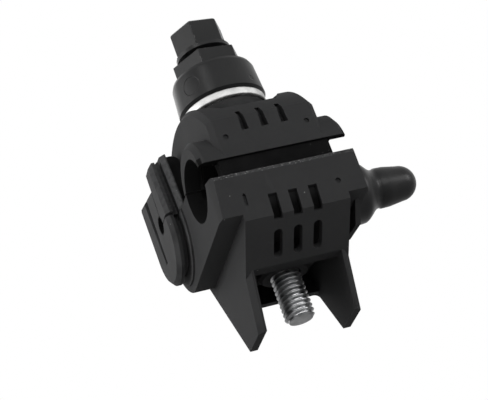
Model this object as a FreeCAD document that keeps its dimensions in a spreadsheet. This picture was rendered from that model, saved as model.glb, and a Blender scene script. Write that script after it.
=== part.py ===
import FreeCAD, Part

import math
import os
import re

import Sketcher

# Insulation piercing connector, millimetres.
# The main cable lies along X through the origin, the tap cable runs parallel
# to it on the +Y side, and the clamp screw stands between them along +Z.
# The lower body stands on two feet; the upper body slides up on the screw.

DOCUMENT = FreeCAD.newDocument("insulation_piercing_connector")
SHEET = DOCUMENT.addObject("Spreadsheet::Sheet", "Sizes")

SIZES = {
    # Main cable groove, open to the front between two lips
    "main_radius": 8.4,
    "main_lobe_radius": 11.4,
    "main_half_length": 19.4,
    "upper_lip_z": 1.2,
    "lower_lip_z": -4.1,
    # Narrower mouths in the end walls, each jaw's half with its own centre
    "mouth_radius": 9.6,
    "mouth_depth": 4.0,
    "mouth_upper_y": -0.2,
    "mouth_upper_z": -2.5,
    "mouth_lower_y": -1.2,
    "mouth_lower_z": 0.4,
    # Block on the upper liner that closes the slot between the lips
    "slot_block_set_back": 0.9,
    "slot_block_back_y": -7.9,
    # Tap cable groove
    "tap_y": 24.3,
    "tap_z": 0.6,
    "tap_radius": 5.0,
    # Parting plane between the upper and the lower body
    "seam_z": 3.0,
    "seam_gap": 0.3,
    # Clamp screw
    "screw_y": 14.0,
    "thread_radius": 4.0,
    "screw_bore_radius": 4.25,
    "screw_tip_z": -35.0,
    "tip_chamfer": 0.8,
    "bolt_head_flats": 13.0,
    "bolt_head_depth": 5.5,
    # Load washer and the rubber ring that carries it
    "washer_radius": 11.5,
    "washer_thickness": 2.2,
    "washer_top_z": 27.6,
    "washer_edge": 0.4,
    "washer_play": 0.2,
    "ring_radius": 11.2,
    "ring_edge": 0.6,
    "pocket_radius": 12.4,
    "pocket_floor_z": 22.0,
    "boss_radius": 11.6,
    "moving_gap": 0.3,
    # Shear head
    "skirt_radius": 11.5,
    "skirt_foot_radius": 12.0,
    "skirt_edge": 0.7,
    "skirt_round": 1.6,
    "shoulder_z": 38.0,
    "removal_flats": 17.0,
    "removal_top_z": 42.4,
    "neck_radius": 5.2,
    "neck_top_z": 44.2,
    "flange_radius": 7.6,
    "flange_top_z": 45.3,
    "drive_flats": 13.0,
    "drive_top_z": 52.95,
    "drive_edge": 0.6,
    "drive_turn": 6.0,
    # Upper body
    "hump_inset": 5.2,
    "upper_front_y": -11.2,
    "upper_back_y": 41.0,
    "arch_y": 17.0,
    "arch_top_z": 26.2,
    "arch_radius": 34.9,
    "hump_edge": 1.3,
    "lobe_bevel": 1.3,
    "saddle_floor_z": 17.5,
    "saddle_floor_half": 7.5,
    "saddle_top_z": 24.0,
    "saddle_top_half": 12.0,
    "tap_neck_wall": 1.8,
    "tap_neck_inset": 1.1,
    "tower_front_y": 27.6,
    "tower_back_y": 30.4,
    "tower_top_z": 19.4,
    "notch_pitch": 5.2,
    "notch_base_width": 1.9,
    "notch_top_width": 1.2,
    "notch_base_z": 7.8,
    "notch_depth": 2.6,
    "notch_rise": 2.0,
    "upper_dimple_x": 10.7,
    "upper_dimple_z": 6.8,
    "dimple_radius": 0.7,
    "dimple_depth": 0.6,
    # Lower body
    "lower_front_y": -13.9,
    "lip_round": 1.5,
    "front_corner_inset": 1.05,
    "front_corner_run": 3.6,
    "crease_y": -12.0,
    "crease_z": -16.7,
    "block_floor_z": -15.0,
    "back_radius": 16.6,
    "core_inset": 5.7,
    "skirt_z": -24.2,
    "panel_foot_y": 0.8,
    "core_rise": 5.0,
    "foot_z": -38.0,
    "foot_front_y": 6.8,
    "foot_back_y": 19.3,
    "leg_back_slope": 0.633,
    "leg_wall": 2.0,
    "leg_bevel": 1.4,
    "panel_wall": 2.0,
    "cavity_ceiling_z": -17.0,
    "slot_width": 2.3,
    "slot_pitch": 5.2,
    "panel_slot_near": 4.4,
    "panel_slot_far": 12.7,
    "face_slot_top_z": -11.4,
    "face_slot_foot_z": -16.2,
    "face_slot_depth": 3.0,
    "face_slot_step": 1.5,
    "lower_dimple_x": 12.0,
    "lower_dimple_z": -11.8,
    "side_slot_x": 12.1,
    "side_slot_top_z": -10.0,
    "side_slot_foot_z": -13.1,
    "side_slot_width": 0.8,
    # Stiffening rib under the right side only
    "side_rib_inset": 1.1,
    "side_rib_thickness": 1.4,
    "side_rib_front_y": -6.7,
    "side_rib_low_y": -0.9,
    "side_rib_low_z": -19.4,
    "side_rib_rear_y": 9.4,
    "side_rib_rear_z": -18.7,
    "side_rib_back_y": 12.0,
    # Captive nut and its retaining plug
    "nut_flats": 13.0,
    "nut_height": 6.5,
    "nut_play": 0.1,
    "thread_play": 0.05,
    "plug_radius": 8.0,
    "plug_height": 3.0,
    "plug_wall": 1.6,
    "plug_recess": 0.1,
    "plug_boss_radius": 6.9,
    "plug_boss_z": -22.5,
    "plug_edge": 0.8,
    # Contact blades
    "blade_x": 8.8,
    "blade_thickness": 1.6,
    "blade_height": 12.4,
    "blade_front_y": -9.4,
    "blade_back_y": 31.4,
    "blade_corner": 4.0,
    "blade_land": 3.6,
    "blade_front_rise": 1.4,
    "blade_nose_rise": 2.6,
    "tooth_root": 0.4,
    "tooth_gap": 0.2,
    "main_tooth_angle": 12.0,
    "main_tooth_sweep": 72.0,
    "main_tooth_count": 7,
    "tap_tooth_angle": 15.0,
    "tap_tooth_sweep": 60.0,
    "tap_tooth_count": 5,
    # Rubber liners in the two grooves
    "main_liner_wall": 1.4,
    "main_liner_inset": 4.9,
    "main_liner_up_angle": 24.0,
    "main_liner_front_angle": -18.0,
    "main_liner_low_angle": 38.0,
    "tap_liner_wall": 1.0,
    "tap_liner_inset": 6.6,
    "tap_liner_up_angle": 32.0,
    "tap_liner_low_angle": 8.0,
    "window_play": 0.2,
    "window_reach": 0.5,
    "window_margin": 2.0,
    # Two-flange entry glands at both ends of the tap groove
    "gland_reach": 4.1,
    "gland_plate_thickness": 2.0,
    "gland_neck_length": 1.6,
    "disc_y": 28.7,
    "disc_z": -0.4,
    "disc_radius": 11.3,
    "gland_neck_radius": 9.0,
    "flange_disc_radius": 12.4,
    "flange_disc_y": 27.7,
    "ear_back_y": 41.0,
    "ear_corner_z": 15.7,
    "ear_top_y": 39.6,
    "ear_top_z": 16.9,
    "split_y": 23.9,
    "split_top_z": 14.2,
    "plate_bevel": 1.1,
    "upper_plate_foot_y": 16.8,
    "upper_plate_top_y": 18.9,
    "upper_plate_top_z": 19.0,
    "upper_plate_corner": 1.2,
    "upper_neck_inset": 2.2,
    "upper_flange_foot_y": 15.5,
    "upper_flange_top_y": 17.8,
    "upper_flange_top_z": 20.2,
    "flange_bevel": 1.2,
    "pilot_y": 25.2,
    "pilot_z": 3.6,
    "pilot_radius": 2.3,
    # Ramp recessed in the left outer disc, deepest along its back edge
    "ramp_front_y": 30.4,
    "ramp_top_y": 34.5,
    "ramp_foot_y": 32.3,
    "ramp_foot_z": -4.7,
    "ramp_depth": 0.9,
    # Rubber end cap over the right gland
    "cap_flange_radius": 9.6,
    "cap_flange_length": 1.8,
    "cap_bell_radius": 8.6,
    "cap_bell_length": 7.5,
    "cap_shoulder_radius": 7.6,
    "cap_shoulder_length": 10.1,
    "cap_neck_radius": 5.3,
    "cap_neck_length": 12.8,
    "cap_finger_radius": 5.6,
    "cap_finger_length": 13.6,
    "cap_tip_radius": 4.9,
    "cap_length": 25.0,
    "cap_drop": 0.5,
}

for row, (alias, value) in enumerate(SIZES.items(), start=1):
    SHEET.set(f"A{row}", alias)
    SHEET.set(f"B{row}", str(value))
    SHEET.setAlias(f"B{row}", alias)
DOCUMENT.recompute()

ALIAS_PATTERN = re.compile(r"\b[a-z]+(?:_[a-z]+)+\b")

# Formulas that several pieces share
SEAM_LOW = "(seam_z - seam_gap / 2)"
SEAM_UP = "(seam_z + seam_gap / 2)"
ARCH_Z = "(arch_top_z - arch_radius)"
WASHER_UNDERSIDE = "(washer_top_z - washer_thickness)"
NUT_FLOOR = "(cavity_ceiling_z + plug_recess)"
PLUG_FLOOR = "(cavity_ceiling_z + plug_recess - plug_height)"
BOSS_FLOOR = "(cavity_ceiling_z - plug_height)"
LEG_BACK_FOOT = "(foot_back_y + leg_back_slope * (skirt_z - foot_z))"
HUMP_HALF = "(main_half_length - hump_inset)"
CORE_HALF = "(main_half_length - core_inset)"
BORE_HALF = "(main_half_length - mouth_depth)"
TAP_NECK_HALF = "(main_half_length - tap_neck_inset)"
GLAND_FACE = "(main_half_length + gland_reach)"

# How far a cutting shape runs past the faces it cuts, and a pad into the one it joins
OUTSIDE = "5"
MARGIN = "1"

# An arch edge of the upper body is longer than this, and this far over its lip
ARCH_EDGE_LENGTH = 8
ARCH_EDGE_RISE = 3

# Angles from the axis, in degrees, at which the cap's domed tip is faceted
DOME_ANGLES = (20, 45, 70, 90)
CLOSE = 1e-3


def linked(formula):
    """Return the formula with every size name pointing at its cell."""
    return ALIAS_PATTERN.sub(
        lambda found: f"Sizes.{found.group(0)}" if found.group(0) in SIZES else found.group(0),
        str(formula),
    )


def number(formula):
    """Return the formula's value with the present sizes."""
    return float(SHEET.evalExpression(linked(formula)))


def plane_of(body, role):
    """Return one of the body's own origin planes or axes."""
    return next(item for item in body.Origin.OriginFeatures if item.Role == role)


def new_body(label):
    """Return an empty part design body with its label."""
    body = DOCUMENT.addObject("PartDesign::Body", label)
    body.Label = label
    return body


def new_sketch(body, name, role, level="0", shift=("0", "0")):
    """Return a sketch on an origin plane, moved along the global axis to a level."""
    sketch = body.newObject("Sketcher::SketchObject", name)
    sketch.AttachmentSupport = [(plane_of(body, role), "")]
    sketch.MapMode = "FlatFace"
    along = f"-({level})" if role == "XZ_Plane" else level
    sketch.setExpression("AttachmentOffset.Base.x", linked(shift[0]))
    sketch.setExpression("AttachmentOffset.Base.y", linked(shift[1]))
    sketch.setExpression("AttachmentOffset.Base.z", linked(along))
    return sketch


def drive(sketch, kind, *references, formula):
    """Add a dimension whose value is a formula of the sheet."""
    index = sketch.addConstraint(Sketcher.Constraint(kind, *references, number(formula)))
    sketch.setExpression(f"Constraints[{index}]", linked(formula))


def fix_point(sketch, geometry, vertex, across, upward):
    """Place one vertex of the sketch from the sketch origin."""
    drive(sketch, "DistanceX", -1, 1, geometry, vertex, formula=across)
    drive(sketch, "DistanceY", -1, 1, geometry, vertex, formula=upward)


def arc_through(start, end, radius, side):
    """Return a three-point arc of at most half a turn, its centre left of travel for side +1.

    A sketch keeps every arc anticlockwise, so an arc with side -1 ends at its first vertex.
    """
    chord = end - start
    middle = (start + end) * 0.5
    normal = FreeCAD.Vector(-chord.y, chord.x, 0).normalize()
    reach = math.sqrt(max(radius ** 2 - (chord.Length / 2) ** 2, 0))
    bulge = middle - normal * (side * (radius - reach))
    return Part.Arc(start, bulge, end)


def draw_outline(sketch, corners):
    """Draw a closed outline.

    Each corner is (across, upward) or (across, upward, radius, side): the
    second form starts an arc to the next corner, and a radius of None makes
    that arc half a turn.
    """
    places = [FreeCAD.Vector(number(c[0]), number(c[1]), 0) for c in corners]
    ends = []
    for index, corner in enumerate(corners):
        start = places[index]
        following = corners[(index + 1) % len(corners)]
        end = places[(index + 1) % len(corners)]
        if len(corner) == 2:
            geometry = sketch.addGeometry(Part.LineSegment(start, end), False)
            ends.append((geometry, 1, 2))
            continue
        half_turn = corner[2] is None
        radius = (end - start).Length / 2 if half_turn else number(corner[2])
        geometry = sketch.addGeometry(arc_through(start, end, radius, corner[3]), False)
        ends.append((geometry, 1, 2) if corner[3] > 0 else (geometry, 2, 1))
        if not half_turn:
            drive(sketch, "Radius", geometry, formula=corner[2])
        elif abs(end.y - start.y) < abs(end.x - start.x):
            drive(sketch, "DistanceY", -1, 1, geometry, 3, formula=f"(({corner[1]}) + ({following[1]})) / 2")
        else:
            drive(sketch, "DistanceX", -1, 1, geometry, 3, formula=f"(({corner[0]}) + ({following[0]})) / 2")
    for index, corner in enumerate(corners):
        geometry, first, last = ends[index]
        following = ends[(index + 1) % len(ends)]
        fix_point(sketch, geometry, first, corner[0], corner[1])
        sketch.addConstraint(Sketcher.Constraint("Coincident", geometry, last, following[0], following[1]))


def draw_circle(sketch, across, upward, radius):
    """Draw a circle placed from the sketch origin."""
    centre = FreeCAD.Vector(number(across), number(upward), 0)
    axis = FreeCAD.Vector(0, 0, 1)
    geometry = sketch.addGeometry(Part.Circle(centre, axis, number(radius)), False)
    fix_point(sketch, geometry, 3, across, upward)
    drive(sketch, "Radius", geometry, formula=radius)


def draw_hexagon(sketch, across, upward, flats, turn="0"):
    """Draw a hexagon by its width across flats, two flats facing along the sketch's Y."""
    radius = f"(({flats}) / sqrt(3))"
    corners = []
    for step in range(6):
        angle = f"(({turn}) + {60 * step}) * 1 deg"
        corners.append(
            (f"{across} + {radius} * cos({angle})", f"{upward} + {radius} * sin({angle})")
        )
    draw_outline(sketch, corners)


def finish(body, feature):
    """Make the feature the body's tip and compute it."""
    body.Tip = feature
    DOCUMENT.recompute()
    return feature


def prism(body, name, role, start, end, drawing, cut=False):
    """Add or cut a prism between two levels along the plane's global axis."""
    downward = role == "XZ_Plane"
    near, far = (end, start) if downward else (start, end)
    level = far if cut else near
    sketch = new_sketch(body, name + "_outline", role, level)
    drawing(sketch)
    feature = body.newObject("PartDesign::Pocket" if cut else "PartDesign::Pad", name)
    feature.Profile = sketch
    feature.setExpression("Length", linked(f"({end}) - ({start})"))
    return finish(body, feature)


def outline_prism(body, name, role, start, end, corners, cut=False):
    """Add or cut a prism over a closed outline."""
    return prism(body, name, role, start, end, lambda sketch: draw_outline(sketch, corners), cut)


def round_prism(body, name, role, start, end, across, upward, radius, cut=False):
    """Add or cut a cylinder along the plane's global axis."""
    return prism(
        body, name, role, start, end, lambda sketch: draw_circle(sketch, across, upward, radius), cut
    )


def turned(body, name, corners, shift=("0", "0"), level="0", axis="V_Axis", cut=False):
    """Add or cut a full turn of an outline in the XZ plane about a sketch axis."""
    sketch = new_sketch(body, name + "_outline", "XZ_Plane", level, shift)
    draw_outline(sketch, corners)
    feature = body.newObject("PartDesign::Groove" if cut else "PartDesign::Revolution", name)
    feature.Profile = sketch
    feature.ReferenceAxis = (sketch, [axis])
    feature.Angle = 360
    return finish(body, feature)


def edge_break(body, name, kind, size, wanted):
    """Fillet or chamfer the tip's edges that the wanted function picks."""
    names = [
        f"Edge{index}"
        for index, edge in enumerate(body.Tip.Shape.Edges, start=1)
        if wanted(edge)
    ]
    base = body.Tip
    feature = body.newObject(f"PartDesign::{kind}", name)
    feature.Base = (base, names)
    feature.setExpression("Radius" if kind == "Fillet" else "Size", linked(size))
    return finish(body, feature)


def slot_corners(centre, low, high, width):
    """Return an upright slot with round ends."""
    left = f"({centre}) - ({width}) / 2"
    right = f"({centre}) + ({width}) / 2"
    return [
        (left, f"({low}) + ({width}) / 2", None, 1),
        (right, f"({low}) + ({width}) / 2"),
        (right, f"({high}) - ({width}) / 2", None, 1),
        (left, f"({high}) - ({width}) / 2"),
    ]


def sector_corners(centre_y, centre_z, outer, inner, jaw, front, back):
    """Return a ring sector over (jaw +1) or under (jaw -1) a groove's axis."""
    def rim(radius, angle, way):
        return (
            f"({centre_y}) + {way} * ({radius}) * cos(({angle}) * 1 deg)",
            f"({centre_z}) + {jaw} * ({radius}) * sin(({angle}) * 1 deg)",
        )

    return [
        rim(outer, front, -1) + (outer, -jaw),
        rim(outer, back, 1),
        rim(inner, back, 1) + (inner, jaw),
        rim(inner, front, -1),
    ]


def blade_corners(jaw):
    """Return a contact blade's plate, which bridges the two grooves."""
    reach = f"{jaw} * blade_height"
    land = f"{jaw} * blade_land"
    main_front = "sqrt(main_radius ^ 2 - (blade_land + blade_front_rise) ^ 2)"
    main_back = "sqrt(main_radius ^ 2 - blade_land ^ 2)"
    tap_half = f"sqrt(tap_radius ^ 2 - ({land} - tap_z) ^ 2)"
    return [
        (f"-{main_front}", f"{jaw} * (blade_land + blade_front_rise)", "main_radius", -jaw),
        (main_back, land),
        (f"tap_y - {tap_half}", land, "tap_radius", -jaw),
        (f"tap_y + {tap_half}", land),
        ("blade_back_y", land),
        ("blade_back_y", f"{jaw} * (blade_height - blade_corner)"),
        ("blade_back_y - blade_corner", reach),
        ("blade_front_y + blade_corner", reach),
        ("blade_front_y", f"{jaw} * (blade_height - blade_corner)"),
        ("blade_front_y", f"{jaw} * (blade_land + blade_nose_rise)"),
    ]


def both_ends(near, far):
    """Return the name, start and end of a span along X at each end of the grooves."""
    return (("left", f"-({far})", f"-({near})"), ("right", near, far))


def cut_grooves(body, jaw_name):
    """Cut both cable grooves and the mouths in the main groove's end walls."""
    clear = f"(main_half_length + {OUTSIDE})"
    round_prism(body, "main_groove", "YZ_Plane", f"-{BORE_HALF}", BORE_HALF, "0", "0",
                "main_radius", cut=True)
    for name, start, end in both_ends(BORE_HALF, clear):
        round_prism(body, f"mouth_{name}", "YZ_Plane", start, end, f"mouth_{jaw_name}_y",
                    f"mouth_{jaw_name}_z", "mouth_radius", cut=True)
    round_prism(
        body, "tap_groove", "YZ_Plane", f"-{clear}", clear, "tap_y", "tap_z", "tap_radius", cut=True
    )


def cut_blade_seats(body, jaw):
    """Cut the two slots that hold the contact blades."""
    for side, name in ((-1, "left"), (1, "right")):
        outline_prism(
            body,
            f"blade_seat_{name}",
            "YZ_Plane",
            f"{side} * blade_x - blade_thickness / 2",
            f"{side} * blade_x + blade_thickness / 2",
            blade_corners(jaw),
            cut=True,
        )


def make_upper_body():
    """Make the arched upper jaw with its front lip, lobes and tap towers."""
    body = new_body("upper_body")
    front_top = f"{ARCH_Z} + sqrt(arch_radius ^ 2 - (arch_y - upper_front_y) ^ 2)"
    back_top = f"{ARCH_Z} + sqrt(arch_radius ^ 2 - (upper_back_y - arch_y) ^ 2)"
    outline_prism(body, "hump", "YZ_Plane", f"-{HUMP_HALF}", HUMP_HALF, [
        ("upper_front_y", "upper_lip_z"),
        ("upper_front_y", front_top, "arch_radius", -1),
        ("upper_back_y", back_top),
        ("upper_back_y", SEAM_UP),
        ("0", SEAM_UP),
        ("0", "upper_lip_z"),
    ])
    edge_break(body, "hump_edges", "Chamfer", "hump_edge", lambda edge: (
        edge.Length > ARCH_EDGE_LENGTH
        and abs(abs(edge.CenterOfMass.x) - number(HUMP_HALF)) < CLOSE
        and edge.BoundBox.ZMax > number("upper_lip_z") + ARCH_EDGE_RISE
    ))
    outline_prism(body, "saddle", "XZ_Plane", f"upper_front_y - {MARGIN}", "screw_y", [
        ("-saddle_floor_half", "saddle_floor_z"),
        ("saddle_floor_half", "saddle_floor_z"),
        ("saddle_top_half", "saddle_top_z"),
        ("saddle_top_half", f"arch_top_z + {MARGIN}"),
        ("-saddle_top_half", f"arch_top_z + {MARGIN}"),
        ("-saddle_top_half", "saddle_top_z"),
    ], cut=True)
    round_prism(body, "screw_boss", "XY_Plane", SEAM_UP, "pocket_floor_z", "0", "screw_y", "boss_radius")
    outline_prism(body, "lobes", "YZ_Plane", "-main_half_length", "main_half_length", [
        ("-sqrt(main_lobe_radius ^ 2 - upper_lip_z ^ 2)", "upper_lip_z", "main_lobe_radius", -1),
        (f"sqrt(main_lobe_radius ^ 2 - {SEAM_UP} ^ 2)", SEAM_UP),
        ("0", SEAM_UP),
        ("0", "upper_lip_z"),
    ])
    edge_break(body, "lobe_edges", "Chamfer", "lobe_bevel", lambda edge: (
        abs(abs(edge.CenterOfMass.x) - number("main_half_length")) < CLOSE
        and getattr(edge.Curve, "Radius", 0) > number("main_radius")
    ))
    neck = "(tap_radius + tap_neck_wall)"
    outline_prism(body, "tap_necks", "YZ_Plane", f"-{TAP_NECK_HALF}", TAP_NECK_HALF, [
        (f"tap_y - sqrt({neck} ^ 2 - ({SEAM_UP} - tap_z) ^ 2)", SEAM_UP, neck, -1),
        (f"tap_y + sqrt({neck} ^ 2 - ({SEAM_UP} - tap_z) ^ 2)", SEAM_UP),
    ])
    outline_prism(body, "towers", "YZ_Plane", f"-{TAP_NECK_HALF}", TAP_NECK_HALF, [
        ("tower_front_y", SEAM_UP),
        ("tower_back_y", SEAM_UP),
        ("tower_back_y", "tower_top_z"),
        ("tower_front_y", "tower_top_z"),
    ])
    clear = f"(main_half_length + {MARGIN})"
    outline_prism(body, "front_trim", "YZ_Plane", f"-{clear}", clear, [
        (f"upper_front_y - {OUTSIDE}", "0"),
        ("upper_front_y", "0"),
        ("upper_front_y", "main_lobe_radius"),
        (f"upper_front_y - {OUTSIDE}", "main_lobe_radius"),
    ], cut=True)
    cut_grooves(body, "upper")
    round_prism(body, "screw_bore", "XY_Plane", "0", f"arch_top_z + {MARGIN}", "0", "screw_y",
                "screw_bore_radius", cut=True)
    round_prism(body, "ring_pocket", "XY_Plane", "pocket_floor_z", f"arch_top_z + {MARGIN}", "0",
                "screw_y", "pocket_radius", cut=True)
    for step, name in ((-1, "left"), (0, "middle"), (1, "right")):
        centre = f"{step} * notch_pitch"
        outline_prism(body, f"notch_{name}", "XZ_Plane", f"upper_front_y - {MARGIN}",
                      "upper_front_y + notch_depth", [
                          (f"{centre} - notch_base_width / 2", "notch_base_z"),
                          (f"{centre} + notch_base_width / 2", "notch_base_z"),
                          (f"{centre} + notch_top_width / 2", f"{front_top} + notch_rise"),
                          (f"{centre} - notch_top_width / 2", f"{front_top} + notch_rise"),
                      ], cut=True)
    for side, name in ((-1, "left"), (1, "right")):
        round_prism(body, f"dimple_{name}", "XZ_Plane", f"upper_front_y - {MARGIN}",
                    "upper_front_y + dimple_depth", f"{side} * upper_dimple_x", "upper_dimple_z",
                    "dimple_radius", cut=True)
    cut_blade_seats(body, 1)
    return body


def make_lower_body():
    """Make the lower jaw with its front lip, slotted panel, skirt and two legs."""
    body = new_body("lower_body")
    lean = "((crease_y - lower_front_y) / (lower_lip_z - lip_round - crease_z))"
    front_floor = f"lower_front_y + {lean} * (lower_lip_z - lip_round - block_floor_z)"
    back_low = "tap_y + sqrt(back_radius ^ 2 - (block_floor_z - tap_z) ^ 2)"
    back_high = f"tap_y + sqrt(back_radius ^ 2 - ({SEAM_LOW} - tap_z) ^ 2)"
    outline_prism(body, "jaw_block", "YZ_Plane", "-main_half_length", "main_half_length", [
        ("lower_front_y", "lower_lip_z - lip_round", "lip_round", -1),
        ("lower_front_y + lip_round", "lower_lip_z"),
        ("0", "lower_lip_z"),
        ("0", SEAM_LOW),
        (back_high, SEAM_LOW, "back_radius", -1),
        (back_low, "block_floor_z"),
        (front_floor, "block_floor_z"),
    ])
    for side, name in ((-1, "left"), (1, "right")):
        outer = f"{side} * (main_half_length + {MARGIN})"
        inner = f"{side} * (main_half_length - front_corner_inset)"
        floor, top = f"block_floor_z - {MARGIN}", f"lower_lip_z + {MARGIN}"
        outline_prism(body, f"corner_{name}", "XY_Plane", floor, top, [
            (inner, "lower_front_y"),
            (f"{side} * main_half_length", "lower_front_y + front_corner_run"),
            (outer, "lower_front_y + front_corner_run"),
            (outer, f"lower_front_y - {MARGIN}"),
            (inner, f"lower_front_y - {MARGIN}"),
        ], cut=True)
    rise = "(block_floor_z + core_rise)"
    outline_prism(body, "core", "YZ_Plane", f"-{CORE_HALF}", CORE_HALF, [
        (front_floor, "block_floor_z"),
        ("crease_y", "crease_z"),
        ("panel_foot_y", "skirt_z"),
        (LEG_BACK_FOOT, "skirt_z"),
        (f"foot_back_y + leg_back_slope * ({rise} - foot_z)", rise),
        ("0", rise),
    ])
    panel_run = "(panel_foot_y - crease_y)"
    panel_fall = "(crease_z - skirt_z)"
    panel_length = f"sqrt({panel_run} ^ 2 + {panel_fall} ^ 2)"
    inner_y = f"(crease_y + panel_wall * {panel_fall} / {panel_length})"
    inner_z = f"(crease_z + panel_wall * {panel_run} / {panel_length})"
    below = f"(skirt_z - {MARGIN})"
    back_wall = "leg_wall * sqrt(1 + leg_back_slope ^ 2)"
    outline_prism(body, "cavity", "YZ_Plane", f"-({CORE_HALF} - leg_wall)",
                  f"{CORE_HALF} - leg_wall", [
                      (f"{inner_y} + ({inner_z} - cavity_ceiling_z) * {panel_run} / {panel_fall}",
                       "cavity_ceiling_z"),
                      (f"{inner_y} + ({inner_z} - {below}) * {panel_run} / {panel_fall}", below),
                      (f"foot_back_y + leg_back_slope * ({below} - foot_z) - {back_wall}", below),
                      (f"foot_back_y + leg_back_slope * (cavity_ceiling_z - foot_z) - {back_wall}",
                       "cavity_ceiling_z"),
                  ], cut=True)
    for name, start, end in both_ends(f"{CORE_HALF} - leg_wall", CORE_HALF):
        outline_prism(body, f"leg_{name}", "YZ_Plane", start, end, [
            ("panel_foot_y", "skirt_z"),
            ("foot_front_y", "foot_z"),
            ("foot_back_y", "foot_z"),
            (LEG_BACK_FOOT, "skirt_z"),
            (LEG_BACK_FOOT, "skirt_z + leg_wall"),
            ("panel_foot_y + leg_wall", "skirt_z + leg_wall"),
        ])
    edge_break(body, "leg_edges", "Chamfer", "leg_bevel", lambda edge: (
        abs(abs(edge.CenterOfMass.x) - number(CORE_HALF)) < CLOSE
        and abs(edge.CenterOfMass.y - number("(panel_foot_y + foot_front_y) / 2")) < CLOSE
        and abs(edge.BoundBox.ZMin - number("foot_z")) < CLOSE
    ))
    rib_end = "(main_half_length - side_rib_inset)"
    outline_prism(body, "side_rib", "YZ_Plane", f"{rib_end} - side_rib_thickness", rib_end, [
        ("side_rib_front_y", "block_floor_z"),
        ("side_rib_low_y", "side_rib_low_z"),
        ("side_rib_rear_y", "side_rib_rear_z"),
        ("side_rib_back_y", "block_floor_z"),
        ("side_rib_back_y", f"block_floor_z + {MARGIN}"),
        ("side_rib_front_y", f"block_floor_z + {MARGIN}"),
    ])
    round_prism(body, "nut_boss", "XY_Plane", BOSS_FLOOR, f"cavity_ceiling_z + {MARGIN}", "0",
                "screw_y", "plug_radius + plug_wall")
    cut_grooves(body, "lower")
    round_prism(body, "screw_bore", "XY_Plane", f"block_floor_z - {MARGIN}", f"seam_z + {MARGIN}", "0",
                "screw_y", "screw_bore_radius", cut=True)
    round_prism(body, "plug_seat", "XY_Plane", f"{BOSS_FLOOR} - {MARGIN}", NUT_FLOOR, "0",
                "screw_y", "plug_radius", cut=True)
    prism(body, "nut_seat", "XY_Plane", f"{NUT_FLOOR} - {MARGIN}", f"{NUT_FLOOR} + nut_height",
          lambda sketch: draw_hexagon(sketch, "0", "screw_y", "(nut_flats + 2 * nut_play)"), cut=True)
    slot_face = f"(lower_front_y + {lean} * (lower_lip_z - lip_round - face_slot_top_z))"
    for step, name in ((-1, "left"), (0, "middle"), (1, "right")):
        cut_panel_slot(body, f"panel_slot_{name}", f"{step} * slot_pitch", panel_run, panel_fall)
        centre = f"({step} * slot_pitch)"
        foot = "(face_slot_foot_z - slot_width / 2)"
        outline_prism(body, f"face_slot_{name}", "YZ_Plane", f"{centre} - slot_width / 2",
                      f"{centre} + slot_width / 2", [
                          (f"lower_front_y - {MARGIN}", foot),
                          ("crease_y + face_slot_depth", foot),
                          (f"{slot_face} + face_slot_step", "face_slot_top_z"),
                          (f"lower_front_y - {MARGIN}", "face_slot_top_z"),
                      ], cut=True)
    dimple_front = f"lower_front_y - {MARGIN}"
    dimple_end = f"lower_front_y + {lean} * (lower_lip_z - lip_round - lower_dimple_z) + dimple_depth"
    round_prism(body, "dimple", "XZ_Plane", dimple_front, dimple_end, "lower_dimple_x",
                "lower_dimple_z", "dimple_radius", cut=True)
    outline_prism(body, "side_slot", "XZ_Plane", dimple_front, dimple_end,
                  slot_corners("-side_slot_x", "side_slot_foot_z", "side_slot_top_z", "side_slot_width"),
                  cut=True)
    cut_blade_seats(body, -1)
    return body


def cut_panel_slot(body, name, centre, panel_run, panel_fall):
    """Cut a slot square through the sloping front panel into the cavity."""
    sketch = new_sketch(body, name + "_outline", "XY_Plane")
    tilt = f"-atan({panel_fall} / {panel_run})"
    sketch.AttachmentOffset = FreeCAD.Placement(
        FreeCAD.Vector(), FreeCAD.Rotation(FreeCAD.Vector(1, 0, 0), number(tilt))
    )
    sketch.setExpression("AttachmentOffset.Rotation.Angle", linked(tilt))
    sketch.setExpression("AttachmentOffset.Base.y", linked("crease_y"))
    sketch.setExpression("AttachmentOffset.Base.z", linked("crease_z"))
    draw_outline(sketch, slot_corners(centre, "panel_slot_near", "panel_slot_far", "slot_width"))
    feature = body.newObject("PartDesign::Pocket", name)
    feature.Profile = sketch
    feature.Reversed = True
    feature.setExpression("Length", linked("2 * panel_wall"))
    return finish(body, feature)


def make_blade(label, side, jaw):
    """Make one toothed contact blade, its teeth patterned about each groove's axis."""
    body = new_body(label)
    start = f"{side} * blade_x - blade_thickness / 2"
    end = f"{side} * blade_x + blade_thickness / 2"
    plate = outline_prism(body, "plate", "YZ_Plane", start, end, blade_corners(jaw))
    rows = (
        ("main", "0", "0", "main_radius", "main_liner_wall"),
        ("tap", "tap_y", "tap_z", "tap_radius", "tap_liner_wall"),
    )
    for name, centre_y, centre_z, radius, liner in rows:
        first = f"(90 - {name}_tooth_sweep / 2)"
        half = f"({name}_tooth_angle / 2)"
        tip = f"({radius} - {liner} + tooth_gap)"
        root = f"({radius} + tooth_root)"
        sketch = new_sketch(body, f"{name}_tooth_outline", "YZ_Plane", start, (centre_y, centre_z))
        corners = []
        for reach, angle in ((root, f"({first} - {half})"), (root, f"({first} + {half})"), (tip, first)):
            corners.append((f"{reach} * cos({angle} * 1 deg)", f"{jaw} * {reach} * sin({angle} * 1 deg)"))
        draw_outline(sketch, corners)
        tooth = body.newObject("PartDesign::Pad", f"{name}_tooth")
        tooth.Profile = sketch
        tooth.setExpression("Length", linked("blade_thickness"))
        finish(body, tooth)
        row = body.newObject("PartDesign::PolarPattern", f"{name}_teeth")
        row.Originals = [tooth]
        row.Axis = (sketch, ["N_Axis"])
        row.Reversed = jaw < 0
        row.setExpression("Angle", linked(f"{name}_tooth_sweep"))
        row.setExpression("Occurrences", linked(f"{name}_tooth_count"))
        finish(body, row)
    return body


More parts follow.
